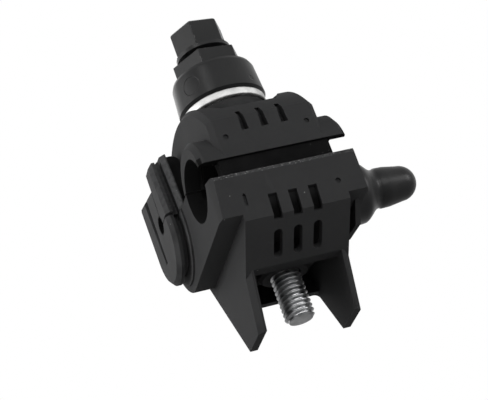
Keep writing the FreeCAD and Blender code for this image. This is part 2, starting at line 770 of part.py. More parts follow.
def make_liner(label, name, centre_y, centre_z, jaw, front, back):
    """Make a rubber groove liner with a window for each blade's teeth."""
    body = new_body(label)
    radius, wall = f"{name}_radius", f"{name}_liner_wall"
    half = f"(main_half_length - {name}_liner_inset)"
    outline_prism(body, "shell", "YZ_Plane", f"-{half}", half,
                  sector_corners(centre_y, centre_z, radius, f"({radius} - {wall})", jaw, front, back))
    edge = f"(90 - {name}_tooth_sweep / 2 - {name}_tooth_angle / 2 - window_margin)"
    outer, inner = f"({radius} + window_reach)", f"({radius} - {wall} - window_reach)"
    for side, word in ((-1, "left"), (1, "right")):
        outline_prism(
            body, f"window_{word}", "YZ_Plane",
            f"{side} * blade_x - blade_thickness / 2 - window_play",
            f"{side} * blade_x + blade_thickness / 2 + window_play",
            sector_corners(centre_y, centre_z, outer, inner, jaw, edge, edge),
            cut=True,
        )
    if front == "main_liner_front_angle":
        low = "(lower_lip_z + moving_gap)"
        outline_prism(body, "slot_block", "YZ_Plane", f"-{half}", half, [
            ("upper_front_y + slot_block_set_back", low),
            ("slot_block_back_y", low),
            ("slot_block_back_y", "upper_lip_z"),
            ("upper_front_y + slot_block_set_back", "upper_lip_z"),
        ])
        round_prism(body, "cable_way", "YZ_Plane", f"-{half}", half, centre_y, centre_z,
                    f"({radius} - {wall})", cut=True)
    return body


def upper_gland_outlines():
    """Return the upper gland's flange, neck and plate outlines."""
    top, corner = "upper_plate_top_z", "upper_plate_corner"
    split = "(split_y - seam_gap / 2)"
    flange = [
        ("upper_flange_foot_y", SEAM_UP),
        ("tower_back_y", SEAM_UP),
        ("tower_back_y", "upper_flange_top_z"),
        ("upper_flange_top_y", "upper_flange_top_z"),
    ]
    neck = [
        ("upper_plate_foot_y + upper_neck_inset", SEAM_UP),
        (split, SEAM_UP),
        (split, f"{top} - upper_neck_inset"),
        ("upper_plate_top_y + upper_neck_inset", f"{top} - upper_neck_inset"),
    ]
    plate = [
        ("upper_plate_foot_y", SEAM_UP),
        (split, SEAM_UP),
        (split, f"{top} - {corner}"),
        (f"{split} - {corner}", top),
        ("upper_plate_top_y", top),
    ]
    return flange, neck, plate


def lower_gland_outlines():
    """Return the lower gland's flange, neck and plate outlines."""
    def disc(centre_y, radius):
        return [
            (f"{centre_y} - sqrt({radius} ^ 2 - ({SEAM_LOW} - disc_z) ^ 2)", SEAM_LOW, radius, 1),
            (centre_y, f"disc_z - {radius}", radius, 1),
            (f"{centre_y} + {radius}", "disc_z"),
        ]

    flange = disc("flange_disc_y", "flange_disc_radius") + [
        ("flange_disc_y + flange_disc_radius", SEAM_LOW),
    ]
    neck = disc("disc_y", "gland_neck_radius") + [
        ("disc_y + gland_neck_radius", SEAM_LOW),
    ]
    plate = disc("disc_y", "disc_radius") + [
        ("ear_back_y", "ear_corner_z"),
        ("ear_top_y", "ear_top_z"),
        ("split_y + seam_gap / 2", "split_top_z"),
        ("split_y + seam_gap / 2", SEAM_LOW),
    ]
    return flange, neck, plate


def cut_ramp(body):
    """Cut the left disc's shallow ramp outwards from a plane tilted about Z."""
    run = "(ramp_top_y - ramp_front_y)"
    tilt = f"-atan(ramp_depth / {run})"
    sketch = new_sketch(body, "ramp_outline", "YZ_Plane", f"-{GLAND_FACE}", ("ramp_front_y", "0"))
    sketch.AttachmentOffset = FreeCAD.Placement(
        FreeCAD.Vector(), FreeCAD.Rotation(FreeCAD.Vector(0, 1, 0), number(tilt))
    )
    sketch.setExpression("AttachmentOffset.Rotation.Angle", linked(tilt))
    sketch.setExpression("AttachmentOffset.Base.x", linked("ramp_front_y"))
    sketch.setExpression("AttachmentOffset.Base.z", linked(f"-{GLAND_FACE}"))
    draw_outline(sketch, [
        (f"-{MARGIN}", "ramp_foot_z"),
        ("ramp_foot_y - ramp_front_y", "ramp_foot_z"),
        (run, "ear_top_z"),
        (run, f"ear_top_z + {MARGIN}"),
        (f"-{MARGIN}", f"ear_top_z + {MARGIN}"),
    ])
    feature = body.newObject("PartDesign::Pocket", "ramp")
    feature.Profile = sketch
    feature.setExpression("Length", linked("gland_plate_thickness"))
    return finish(body, feature)


def make_gland(label, side, jaw):
    """Make one half of the two-flange gland at an end of the tap groove."""
    body = new_body(label)
    plate_back = f"({GLAND_FACE} - gland_plate_thickness)"
    neck_back = f"({plate_back} - gland_neck_length)"
    foot = TAP_NECK_HALF if jaw > 0 else "main_half_length"
    outlines = upper_gland_outlines() if jaw > 0 else lower_gland_outlines()
    end = 0 if side < 0 else 1

    def span(near, far):
        return both_ends(near, far)[end][1:]

    def rim_edge(edge, face, wanted):
        centre = edge.CenterOfMass
        return abs(centre.x - side * number(face)) < CLOSE and wanted(centre)

    split = number("split_y + seam_gap / 2")
    wall_clear = number("split_y - gland_plate_thickness")
    outline_prism(body, "flange", "YZ_Plane", *span(foot, neck_back), outlines[0])
    if jaw > 0:
        edge_break(body, "flange_bevel", "Chamfer", "flange_bevel", lambda edge: rim_edge(
            edge, neck_back, lambda centre: centre.y < number("upper_flange_top_y")
        ))
    outline_prism(body, "neck", "YZ_Plane", *span(neck_back, plate_back), outlines[1])
    outline_prism(body, "plate", "YZ_Plane", *span(plate_back, GLAND_FACE), outlines[2])
    if jaw > 0:
        edge_break(body, "plate_edges", "Chamfer", "plate_bevel", lambda edge: rim_edge(
            edge, GLAND_FACE, lambda centre: (
                centre.y < wall_clear and centre.z > number(SEAM_UP) + CLOSE
            )
        ))
    else:
        edge_break(body, "plate_edges", "Chamfer", "plate_bevel", lambda edge: rim_edge(
            edge, GLAND_FACE, lambda centre: (
                abs(centre.y - split) > CLOSE and abs(centre.z - number(SEAM_LOW)) > CLOSE
            )
        ))
    if side > 0:
        return body
    outer_start, outer_end = span(foot, f"{GLAND_FACE} + {MARGIN}")
    round_prism(body, "pilot_hole", "YZ_Plane", outer_start, outer_end, "pilot_y", "pilot_z",
                "pilot_radius", cut=True)
    if jaw < 0:
        cut_ramp(body)
    return body


def make_end_cap():
    """Make the rubber cap, turned about the tap cable's axis."""
    body = new_body("end_cap")
    dome = []
    for angle in DOME_ANGLES:
        along = f"cap_length - cap_tip_radius * (1 - cos({angle} * 1 deg))"
        dome.append((along, f"cap_tip_radius * sin({angle} * 1 deg)"))
    turned(body, "cap", [
        ("0", "0"),
        ("cap_length", "0"),
        *dome,
        ("cap_finger_length", "cap_finger_radius"),
        ("cap_neck_length", "cap_neck_radius"),
        ("cap_shoulder_length", "cap_shoulder_radius"),
        ("cap_bell_length", "cap_bell_radius"),
        ("cap_flange_length", "cap_bell_radius"),
        ("cap_flange_length", "cap_flange_radius"),
        ("0", "cap_flange_radius"),
    ], shift=(GLAND_FACE, "tap_z - cap_drop"), level="tap_y", axis="H_Axis")
    return body


def make_bolt():
    """Make the clamp bolt with its hexagon head inside the shear head."""
    body = new_body("bolt")
    turned(body, "shank", [
        ("0", "screw_tip_z"),
        ("thread_radius - tip_chamfer", "screw_tip_z"),
        ("thread_radius", "screw_tip_z + tip_chamfer"),
        ("thread_radius", "washer_top_z"),
        ("0", "washer_top_z"),
    ])
    prism(body, "head", "XY_Plane", "washer_top_z", "washer_top_z + bolt_head_depth",
          lambda sketch: draw_hexagon(sketch, "0", "0", "bolt_head_flats", "drive_turn"))
    body.setExpression("Placement.Base.y", linked("screw_y"))
    return body


def make_shear_head():
    """Make the break-off head: drive hexagon, flange, removal hexagon and skirt."""
    body = new_body("shear_head")
    corner = "skirt_round * (1 - sqrt(0.5))"
    turned(body, "skirt", [
        ("0", "washer_top_z"),
        ("skirt_foot_radius - skirt_edge", "washer_top_z"),
        ("skirt_foot_radius", "washer_top_z + skirt_edge"),
        ("skirt_radius", "shoulder_z - skirt_round"),
        (f"skirt_radius - {corner}", f"shoulder_z - {corner}"),
        ("skirt_radius - skirt_round", "shoulder_z"),
        ("0", "shoulder_z"),
    ])
    prism(body, "removal_hexagon", "XY_Plane", f"shoulder_z - {MARGIN}", "removal_top_z",
          lambda sketch: draw_hexagon(sketch, "0", "0", "removal_flats", "drive_turn"))
    turned(body, "neck_and_flange", [
        ("0", f"removal_top_z - {MARGIN}"),
        ("neck_radius", f"removal_top_z - {MARGIN}"),
        ("neck_radius", "neck_top_z"),
        ("flange_radius", "neck_top_z"),
        ("flange_radius", "flange_top_z"),
        ("0", "flange_top_z"),
    ])
    prism(body, "drive_hexagon", "XY_Plane", f"flange_top_z - {MARGIN}", "drive_top_z",
          lambda sketch: draw_hexagon(sketch, "0", "0", "drive_flats", "drive_turn"))
    edge_break(body, "hexagon_edges", "Chamfer", "drive_edge", lambda edge: (
        abs(edge.BoundBox.ZMin - number("drive_top_z")) < CLOSE
    ))
    prism(body, "bolt_seat", "XY_Plane", f"washer_top_z - {MARGIN}", "washer_top_z + bolt_head_depth",
          lambda sketch: draw_hexagon(sketch, "0", "0", "bolt_head_flats", "drive_turn"), cut=True)
    body.setExpression("Placement.Base.y", linked("screw_y"))
    return body


def make_washer():
    """Make the galvanised load washer."""
    body = new_body("load_washer")
    turned(body, "washer", [
        ("thread_radius + washer_play", WASHER_UNDERSIDE),
        ("washer_radius - washer_edge", WASHER_UNDERSIDE),
        ("washer_radius", f"{WASHER_UNDERSIDE} + washer_edge"),
        ("washer_radius", "washer_top_z - washer_edge"),
        ("washer_radius - washer_edge", "washer_top_z"),
        ("thread_radius + washer_play", "washer_top_z"),
    ])
    body.setExpression("Placement.Base.y", linked("screw_y"))
    return body


def make_bolt_seal():
    """Make the rubber ring between the upper body's pocket and the washer."""
    body = new_body("bolt_seal")
    top = f"({WASHER_UNDERSIDE} - moving_gap)"
    turned(body, "ring", [
        ("screw_bore_radius", "pocket_floor_z"),
        ("ring_radius", "pocket_floor_z"),
        ("ring_radius", f"{top} - ring_edge"),
        ("ring_radius - ring_edge", top),
        ("screw_bore_radius", top),
    ])
    body.setExpression("Placement.Base.y", linked("screw_y"))
    return body


def make_nut():
    """Make the captive nut in the lower body's hexagonal seat."""
    body = new_body("captive_nut")
    prism(body, "hexagon", "XY_Plane", NUT_FLOOR, f"{NUT_FLOOR} + nut_height",
          lambda sketch: draw_hexagon(sketch, "0", "0", "nut_flats"))
    round_prism(body, "thread_bore", "XY_Plane", f"{NUT_FLOOR} - {MARGIN}",
                f"{NUT_FLOOR} + nut_height + {MARGIN}", "0", "0", "thread_radius + thread_play", cut=True)
    body.setExpression("Placement.Base.y", linked("screw_y"))
    return body


def make_nut_retainer():
    """Make the stepped plug that closes the nut's seat from below."""
    body = new_body("nut_retainer")
    turned(body, "plug", [
        ("screw_bore_radius", NUT_FLOOR),
        ("screw_bore_radius", "plug_boss_z"),
        ("plug_boss_radius - plug_edge", "plug_boss_z"),
        ("plug_boss_radius", "plug_boss_z + plug_edge"),
        ("plug_boss_radius", PLUG_FLOOR),
        ("plug_radius", PLUG_FLOOR),
        ("plug_radius", NUT_FLOOR),
    ])
    body.setExpression("Placement.Base.y", linked("screw_y"))
    return body


def make_all():
    """Return every sub-part of the connector."""
    parts = [make_lower_body(), make_upper_body(), make_bolt(), make_shear_head(), make_washer(),
             make_bolt_seal(), make_nut(), make_nut_retainer(), make_end_cap()]
    for jaw, jaw_name in ((1, "upper"), (-1, "lower")):
        for side, side_name in ((-1, "left"), (1, "right")):
            parts.append(make_blade(f"blade_{jaw_name}_{side_name}", side, jaw))
            parts.append(make_gland(f"gland_{side_name}_{jaw_name}", side, jaw))
        word = "up" if jaw > 0 else "low"
        main_back = "main_liner_up_angle" if jaw > 0 else "tap_liner_low_angle"
        main_front = "main_liner_front_angle" if jaw > 0 else "main_liner_low_angle"
        parts.append(make_liner(f"main_seal_{jaw_name}", "main", "0", "0", jaw, main_front, main_back))
        tap_angle = f"tap_liner_{word}_angle"
        parts.append(make_liner(f"tap_seal_{jaw_name}", "tap", "tap_y", "tap_z", jaw, tap_angle, tap_angle))
    return parts


def check(parts):
    """Stop if any object failed or any sub-part's solid isn't sound."""
    for item in DOCUMENT.Objects:
        if "Invalid" in item.State or "Error" in item.State:
            raise RuntimeError(f"{item.Label} failed: {item.State}")
    for part in parts:
        shape = part.Shape
        if shape.isNull() or not shape.isValid() or len(shape.Solids) != 1:
            raise RuntimeError(f"{part.Label} is not one sound solid")


def main():
    """Build the connector and write one STEP file for each sub-part."""
    parts = make_all()
    DOCUMENT.recompute()
    check(parts)
    os.makedirs("parts", exist_ok=True)
    for part in parts:
        part.Shape.exportStep(f"parts/{part.Label}.step")
        box = part.Shape.BoundBox
        print(f"{part.Label}: volume {part.Shape.Volume:.1f}, X {box.XMin:.2f} to {box.XMax:.2f}, "
              f"Y {box.YMin:.2f} to {box.YMax:.2f}, Z {box.ZMin:.2f} to {box.ZMax:.2f}")


main()
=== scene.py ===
"""Looks of an insulation piercing connector: moulded housings, clamp screw, rubber glands and cap."""

import logging
import math
from dataclasses import dataclass, field
from enum import Enum
from functools import cache
from typing import Sequence

import bmesh
import bpy
from mathutils import Matrix, Vector


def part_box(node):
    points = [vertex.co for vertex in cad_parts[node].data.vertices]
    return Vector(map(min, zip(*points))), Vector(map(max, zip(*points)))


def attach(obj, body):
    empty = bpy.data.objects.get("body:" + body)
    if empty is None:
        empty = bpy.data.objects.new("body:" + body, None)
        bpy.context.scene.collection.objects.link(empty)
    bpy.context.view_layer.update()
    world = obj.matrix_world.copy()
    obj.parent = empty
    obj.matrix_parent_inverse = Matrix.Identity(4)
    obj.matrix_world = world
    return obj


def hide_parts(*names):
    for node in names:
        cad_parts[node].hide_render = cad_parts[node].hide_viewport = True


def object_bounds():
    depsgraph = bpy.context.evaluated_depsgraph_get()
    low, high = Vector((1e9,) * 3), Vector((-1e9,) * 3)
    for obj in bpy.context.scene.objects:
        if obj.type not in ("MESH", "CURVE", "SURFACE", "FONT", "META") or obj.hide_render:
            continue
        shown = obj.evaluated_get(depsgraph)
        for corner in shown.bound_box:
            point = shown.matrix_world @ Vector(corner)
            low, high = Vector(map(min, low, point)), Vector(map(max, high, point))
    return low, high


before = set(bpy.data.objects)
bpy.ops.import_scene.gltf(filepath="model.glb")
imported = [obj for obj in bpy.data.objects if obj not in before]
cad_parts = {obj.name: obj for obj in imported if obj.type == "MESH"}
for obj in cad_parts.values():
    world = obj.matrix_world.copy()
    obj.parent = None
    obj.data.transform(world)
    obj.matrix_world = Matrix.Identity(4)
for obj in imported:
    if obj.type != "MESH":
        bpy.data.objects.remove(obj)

MM = 0.001
SEAM_Z = 3.0 * MM
ROUNDED = "rounded"
MERGE_DISTANCE = 0.002 * MM
CUT_DISTANCE = 0.0001 * MM
PLASTIC_IOR = 1.5
MIX_FIRST_COLOUR, MIX_SECOND_COLOUR, MIX_RESULT_COLOUR = 6, 7, 2
LOG = logging.getLogger("connector")
CAD_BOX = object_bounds()
SCREW_AXIS_Y = (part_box("load_washer")[0].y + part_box("load_washer")[1].y) / 2
CAP_AXIS_Y = (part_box("end_cap")[0].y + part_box("end_cap")[1].y) / 2
CAP_AXIS_Z = (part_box("end_cap")[0].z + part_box("end_cap")[1].z) / 2


class Body(Enum):
    """The bodies that the pieces ride on."""

    BASE = "base"
    JAW = "jaw"
    SCREW = "screw"


class Slot(Enum):
    """The record's material slots."""

    HOUSING = "housing"
    SHEAR_PLASTIC = "shear_plastic"
    ZINC_STEEL = "zinc_steel"
    GALVANISED = "galvanised"
    SEAL_RUBBER = "seal_rubber"
    GLAND_RUBBER = "gland_rubber"
    CAP_RUBBER = "cap_rubber"
    TINNED_CONTACT = "tinned_contact"


class Graph:
    """A thin hand on one node tree."""

    def __init__(self, tree: bpy.types.NodeTree) -> None:
        """Keep the material's, group's or world's node tree."""
        self.tree = tree

    def add(self, kind: str, settings: dict | None = None, **inputs: object) -> bpy.types.Node:
        """Add a node and set its properties and inputs.

        Args:
            kind: the node's class name, without the ShaderNode prefix.
            settings: the node's own properties.
            **inputs: values or sockets for its inputs, with underscores for spaces.

        Returns:
            The new node.
        """
        node = self.tree.nodes.new(f"ShaderNode{kind}")
        for key, value in (settings or {}).items():
            setattr(node, key, value)
        for key, value in inputs.items():
            self.feed(node, key.replace("_", " "), value)
        return node

    def feed(self, node: bpy.types.Node, name: str | int, value: object) -> None:
        """Give one input a value or a link.

        Args:
            node: the node.
            name: the input's name, or its place in the list.
            value: a number, a vector, or the socket that feeds it.
        """
        socket = node.inputs[int(name)] if str(name).isdigit() else node.inputs[name]
        if isinstance(value, bpy.types.NodeSocket):
            self.tree.links.new(value, socket)
        else:
            socket.default_value = value

    def place(self) -> bpy.types.NodeSocket:
        """Add the object coordinates, as a vector."""
        return self.add("TexCoord").outputs["Object"]

    def math(self, operation: str, first: object, second: object = 0.0) -> bpy.types.NodeSocket:
        """Add a sum of two values.

        Args:
            operation: the Math node's operation.
            first: a number or a socket.
            second: a number or a socket.

        Returns:
            The result.
        """
        node = self.add("Math", {"operation": operation})
        self.feed(node, 0, first)
        self.feed(node, 1, second)
        return node.outputs[0]

    def ramp(self, value: object, low: object, high: object) -> bpy.types.NodeSocket:
        """Spread a value over 0 to 1, with smooth ends.

        Args:
            value: the value.
            low: the value that gives 0.
            high: the value that gives 1.

        Returns:
            The result.
        """
        node = self.add("MapRange", {"interpolation_type": "SMOOTHSTEP", "clamp": True})
        self.feed(node, "Value", value)
        self.feed(node, "From Min", low)
        self.feed(node, "From Max", high)
        return node.outputs[0]

    def mix(self, share: object, first: object, second: object) -> bpy.types.NodeSocket:
        """Mix two colours.

        Args:
            share: how much of the second colour is in the mix.
            first: a colour or a socket.
            second: a colour or a socket.

        Returns:
            The mixed colour.
        """
        node = self.add("Mix", {"data_type": "RGBA"})
        self.feed(node, 0, share)
        self.feed(node, MIX_FIRST_COLOUR, first)
        self.feed(node, MIX_SECOND_COLOUR, second)
        return node.outputs[MIX_RESULT_COLOUR]


class NodeGroups:
    """The effects that several materials share, each built once."""

    coarse_share: float = 0.16
    contrast_gain: float = 4.0
    scratch_ways: tuple[tuple[tuple[float, ...], float], ...] = (((0.4, 0.9, 0.3), 0.05), ((1.3, 0.2, 1.1), 0.08))
    scratch_band: tuple[float, float] = (0.69, 0.74)

    @classmethod
    def start(cls, name: str, inputs: dict[str, float], output: str) -> tuple[Graph, Sequence, bpy.types.Node]:
        """Begin a group.

        Args:
            name: the group's name.
            inputs: its value inputs and their defaults.
            output: its value output.

        Returns:
            The graph to build in, the sockets of its inputs, and its output node.
        """
        tree = bpy.data.node_groups.new(name, "ShaderNodeTree")
        for label, value in inputs.items():
            socket = tree.interface.new_socket(name=label, in_out="INPUT", socket_type="NodeSocketFloat")
            socket.default_value = value
        tree.interface.new_socket(name=output, in_out="OUTPUT", socket_type="NodeSocketFloat")
        return Graph(tree), tree.nodes.new("NodeGroupInput").outputs, tree.nodes.new("NodeGroupOutput")

    @classmethod
    @cache
    def mould_grain(cls) -> bpy.types.NodeTree:
        """Build the fine spark-eroded grain of a moulded surface, as a height.

        Returns:
            The group.
        """
        graph, given, out = cls.start("mould_grain", {"Scale": 3200.0, "Coarse": 0.35}, "Height")
        place = graph.place()
        fine = graph.add("TexNoise", Vector=place, Scale=given["Scale"], Detail=3.0, Roughness=0.6)
        wide = graph.add("TexNoise", Vector=place, Detail=2.0, Roughness=0.5)
        graph.feed(wide, "Scale", graph.math("MULTIPLY", given["Scale"], cls.coarse_share))
        coarse = graph.math("MULTIPLY", wide.outputs[0], given["Coarse"])
        graph.feed(out, "Height", graph.math("ADD", fine.outputs[0], coarse))
        return graph.tree

    @classmethod
    @cache
    def mottle(cls) -> bpy.types.NodeTree:
        """Build the slow change of tone over a moulded or rubber surface.

        Returns:
            The group.
        """
        graph, given, out = cls.start("mottle", {"Scale": 130.0, "Contrast": 0.5}, "Mask")
        place = graph.place()
        slow = graph.add("TexNoise", Vector=place, Scale=given["Scale"], Detail=4.0, Roughness=0.55)
        centred = graph.math("SUBTRACT", slow.outputs[0], 0.5)
        gain = graph.math("MULTIPLY", given["Contrast"], cls.contrast_gain)
        spread = graph.math("MULTIPLY", centred, gain)
        node = graph.add("Clamp", Value=graph.math("ADD", spread, 0.5))
        graph.feed(out, "Mask", node.outputs[0])
        return graph.tree

    @classmethod
    @cache
    def edge_wear(cls) -> bpy.types.NodeTree:
        """Build the mask of rubbed edges, broken up by noise; it lightens the rounded faces as wear and as a
        painted highlight.

        Returns:
            The group.
        """
        graph, given, out = cls.start("edge_wear", {"Low": 0.3, "High": 0.65, "Scale": 900.0}, "Mask")
        edge = graph.add("Attribute", {"attribute_name": ROUNDED}).outputs["Fac"]
        place = graph.place()
        noise = graph.add("TexNoise", Vector=place, Scale=given["Scale"], Detail=3.0)
        broken = graph.ramp(noise.outputs[0], given["Low"], given["High"])
        graph.feed(out, "Mask", graph.math("MULTIPLY", edge, broken))
        return graph.tree

    @classmethod
    @cache
    def tube_mask(cls) -> bpy.types.NodeTree:
        """Build the mask of a tube that runs along X, with a soft wall.

        Returns:
            The group.
        """
        graph, given, out = cls.start("tube_mask", {"Y": 0.0, "Z": 0.0, "Radius": 0.01, "Soft": 0.0003}, "Mask")
        place = graph.add("SeparateXYZ", Vector=graph.place())
        across = graph.math("SUBTRACT", place.outputs["Y"], given["Y"])
        upward = graph.math("SUBTRACT", place.outputs["Z"], given["Z"])
        squares = graph.math("ADD", graph.math("MULTIPLY", across, across), graph.math("MULTIPLY", upward, upward))
        inner = graph.math("SUBTRACT", given["Radius"], given["Soft"])
        wall = graph.ramp(graph.math("SQRT", squares), inner, given["Radius"])
        graph.feed(out, "Mask", graph.math("SUBTRACT", 1.0, wall))
        return graph.tree

    @classmethod
    @cache
    def dust(cls) -> bpy.types.NodeTree:
        """Build the mask of sparse pale specks left on the surface.

        Returns:
            The group.
        """
        graph, given, out = cls.start("dust", {"Scale": 420.0, "Size": 0.07, "Density": 0.3}, "Mask")
        place = graph.place()
        cells = graph.add("TexVoronoi", Vector=place, Scale=given["Scale"])
        near = graph.math("LESS_THAN", cells.outputs["Distance"], given["Size"])
        tone = graph.add("SeparateColor", Color=cells.outputs["Color"])
        chosen = graph.math("LESS_THAN", tone.outputs[0], given["Density"])
        graph.feed(out, "Mask", graph.math("MULTIPLY", near, chosen))
        return graph.tree

    @classmethod
    @cache
    def scratches(cls) -> bpy.types.NodeTree:
        """Build the mask of fine handling scratches in two directions.

        Returns:
            The group.
        """
        graph, given, out = cls.start("scratches", {"Scale": 300.0, "Amount": 0.5}, "Mask")
        place = graph.place()
        total: object = 0.0
        for turn, stretch in cls.scratch_ways:
            turned = graph.add("Mapping", Vector=place, Rotation=turn, Scale=(1.0, 1.0, stretch))
            lines = graph.add("TexNoise", Vector=turned.outputs[0], Scale=given["Scale"],
                              Detail=2.0, Distortion=0.4)
            total = graph.math("ADD", total, graph.ramp(lines.outputs[0], *cls.scratch_band))
        graph.feed(out, "Mask", graph.math("MULTIPLY", total, given["Amount"]))
        return graph.tree


@dataclass(frozen=True)
class Finish:
    """A finish's shared numbers."""

    slot: Slot
    name: str
    colour: tuple[float, float, float]
    roughness: float
    specular: float = 0.5

    def start(self) -> tuple[bpy.types.Material, Graph, bpy.types.Node]:
        """Begin the material.

        Returns:
            The new material, its graph and its Principled shader.
        """
        material = bpy.data.materials.new(self.name)
        material.use_nodes = True
        graph = Graph(material.node_tree)
        shader = material.node_tree.nodes["Principled BSDF"]
        material.diffuse_color = (*self.colour, 1.0)
        shader.inputs["Specular IOR Level"].default_value = self.specular
        return material, graph, shader

    @staticmethod
    def group(graph: Graph, tree: bpy.types.NodeTree, **inputs: object) -> bpy.types.NodeSocket:
        """Place a shared group.

        Args:
            graph: the material's graph.
            tree: the group.
            **inputs: values or sockets for its inputs, with underscores for spaces.

        Returns:
            The group's first output.
        """
        node = graph.tree.nodes.new("ShaderNodeGroup")
        node.node_tree = tree
        for key, value in inputs.items():
            graph.feed(node, key.replace("_", " "), value)
        return node.outputs[0]

    def tint(self, factor: float) -> tuple[float, float, float, float]:
        """Multiply the finish's colour by a factor, and give it an alpha of 1."""
        return tuple(min(1.0, part * factor) for part in self.colour) + (1.0,)


@dataclass(frozen=True)
class PocketZone:
    """The part of the sloping front face whose sunk slots get painted shade: bounds, a point on it, slope and
    depths.
    """

    half_x: float
    low_z: float
    full_z: float
    high_z: float
    face_y: float
    face_z: float
    slope: float
    shallow: float
    deep: float


@dataclass(frozen=True)
class MouldedPlastic(Finish):
    """Glass-filled black plastic with a fine mould grain, soft sheen, rubbed edges that are lightened as wear and
    as a painted highlight, and painted shade in the cable groove and the front slots.
    """

    grain_scale: float = 3200.0
    grain_height: float = 0.018 * MM
    edge_factor: float = 2.2
    dust_amount: float = 0.35
    fleck_amount: float = 0.45
    grease: tuple[tuple[float, float, float], ...] = ()
    pocket: PocketZone | None = None
    discs: tuple[tuple[float, float, float, float], ...] = ()
    disc_depth: float = 0.25 * MM
    disc_rim: float = 0.25 * MM
    tones: tuple[float, float] = (0.92, 1.08)
    cloud_share: float = 0.12
    cloud_factor: float = 1.4
    wear_share: float = 0.6
    rub_share: float = 0.3
    rub_factor: float = 1.9
    speck_colour: tuple[float, ...] = (0.5, 0.5, 0.49, 1.0)
    fleck_colour: tuple[float, ...] = (0.3, 0.3, 0.295, 1.0)
    grease_share: float = 0.93
    grease_factor: float = 0.05
    dirt_factor: float = 0.15
    rough_swing: float = 0.1
    wear_polish: float = 0.12
    bump_strength: float = 0.55

    def material(self) -> bpy.types.Material:
        """Build the material.

        Returns:
            The finished material.
        """
        material, graph, shader = self.start()
        tone = self.group(graph, NodeGroups.mottle(), Scale=110.0, Contrast=0.55)
        cloud = self.group(graph, NodeGroups.mottle(), Scale=900.0, Contrast=0.5)
        # rubbed edges: the rounded faces are lightened as wear and as a painted highlight
        wear_and_highlight = self.group(graph, NodeGroups.edge_wear())
        flecks = self.group(graph, NodeGroups.edge_wear(), Low=0.6, High=0.66, Scale=2300.0)
        specks = self.group(graph, NodeGroups.dust(), Scale=380.0, Size=0.05, Density=0.12)
        rub = self.group(graph, NodeGroups.scratches(), Amount=0.35)
        base = graph.mix(tone, *(self.tint(factor) for factor in self.tones))
        for mask, share, colour in (
            (cloud, self.cloud_share, self.tint(self.cloud_factor)),
            (wear_and_highlight, self.wear_share, self.tint(self.edge_factor)),
            (rub, self.rub_share, self.tint(self.rub_factor)),
            (specks, self.dust_amount, self.speck_colour),
            (flecks, self.fleck_amount, self.fleck_colour),
        ):
            base = graph.mix(graph.math("MULTIPLY", mask, share), base, colour)
        # painted shade: the cable groove's walls are darkened where the bore lies in shade
        base = self.darken_grooves(graph, base)
        # painted shade: the front face's slots are darkened towards their foot
        if self.pocket:
            slot_shade = self.pocket_mask(graph, self.pocket)
            base = graph.mix(slot_shade, base, self.tint(self.dirt_factor))
        swing = graph.math("MULTIPLY", tone, self.rough_swing)
        rough = graph.math("ADD", self.roughness - self.rough_swing / 2, swing)
        rough = graph.math("SUBTRACT", rough, graph.math("MULTIPLY", wear_and_highlight, self.wear_polish))
        height = self.group(graph, NodeGroups.mould_grain(), Scale=self.grain_scale)
        bump = graph.add("Bump", Strength=self.bump_strength, Distance=self.grain_height, Height=height)
        if self.discs:
            graph.feed(bump, "Normal", self.sink_discs(graph))
        graph.feed(shader, "Base Color", base)
        graph.feed(shader, "Roughness", rough)
        graph.feed(shader, "Normal", bump.outputs[0])
        shader.inputs["IOR"].default_value = PLASTIC_IOR
        return material

    def darken_grooves(self, graph: Graph, base: bpy.types.NodeSocket) -> bpy.types.NodeSocket:
        """Lay painted shade on the walls of the cable groove, darkening the inside of the bore in each half.

        Args:
            graph: the material's graph.
            base: the colour so far.

        Returns:
            The new colour.
        """
        place = graph.add("SeparateXYZ", Vector=graph.place())
        upper = graph.math("GREATER_THAN", place.outputs["Z"], SEAM_Z)
        for half, (across, height, radius) in zip((upper, graph.math("SUBTRACT", 1.0, upper)), self.grease):
            inside = self.group(graph, NodeGroups.tube_mask(), Y=across, Z=height, Radius=radius)
            share = graph.math("MULTIPLY", graph.math("MULTIPLY", inside, half), self.grease_share)
            base = graph.mix(share, base, self.tint(self.grease_factor))
        return base

    @staticmethod
    def pocket_mask(graph: Graph, zone: PocketZone) -> bpy.types.NodeSocket:
        """Find how much painted shade a point in the slots of the front face gets, more towards their foot.

        Args:
            graph: the material's graph.
            zone: where the slots are, and the depths between which the painted shade begins and is full.

        Returns:
            The mask.
        """
        place = graph.add("SeparateXYZ", Vector=graph.place())
        side = graph.math("LESS_THAN", graph.math("ABSOLUTE", place.outputs["X"]), zone.half_x)
        above = graph.math("GREATER_THAN", place.outputs["Z"], zone.low_z)
        below = graph.ramp(place.outputs["Z"], zone.high_z, zone.full_z)
        face = graph.math("SUBTRACT", zone.face_z, place.outputs["Z"])
        face = graph.math("ADD", graph.math("MULTIPLY", face, zone.slope), zone.face_y)
        depth = graph.ramp(graph.math("SUBTRACT", place.outputs["Y"], face), zone.shallow, zone.deep)
        return graph.math("MULTIPLY", graph.math("MULTIPLY", side, depth), graph.math("MULTIPLY", above, below))

    def sink_discs(self, graph: Graph) -> bpy.types.NodeSocket:
        """Sink the shallow round mould marks into the normal.

        Args:
            graph: the material's graph.

        Returns:
            The normal.
        """
        place = graph.place()
        total: object = 0.0
        for *centre, radius in self.discs:
            far = graph.add("VectorMath", {"operation": "DISTANCE"})
            graph.feed(far, 0, place)
            graph.feed(far, 1, tuple(centre))
            total = graph.math("ADD", total, graph.ramp(far.outputs["Value"], radius - self.disc_rim, radius))
        bump = graph.add("Bump", Strength=1.0, Distance=self.disc_depth, Height=total)
        return bump.outputs[0]


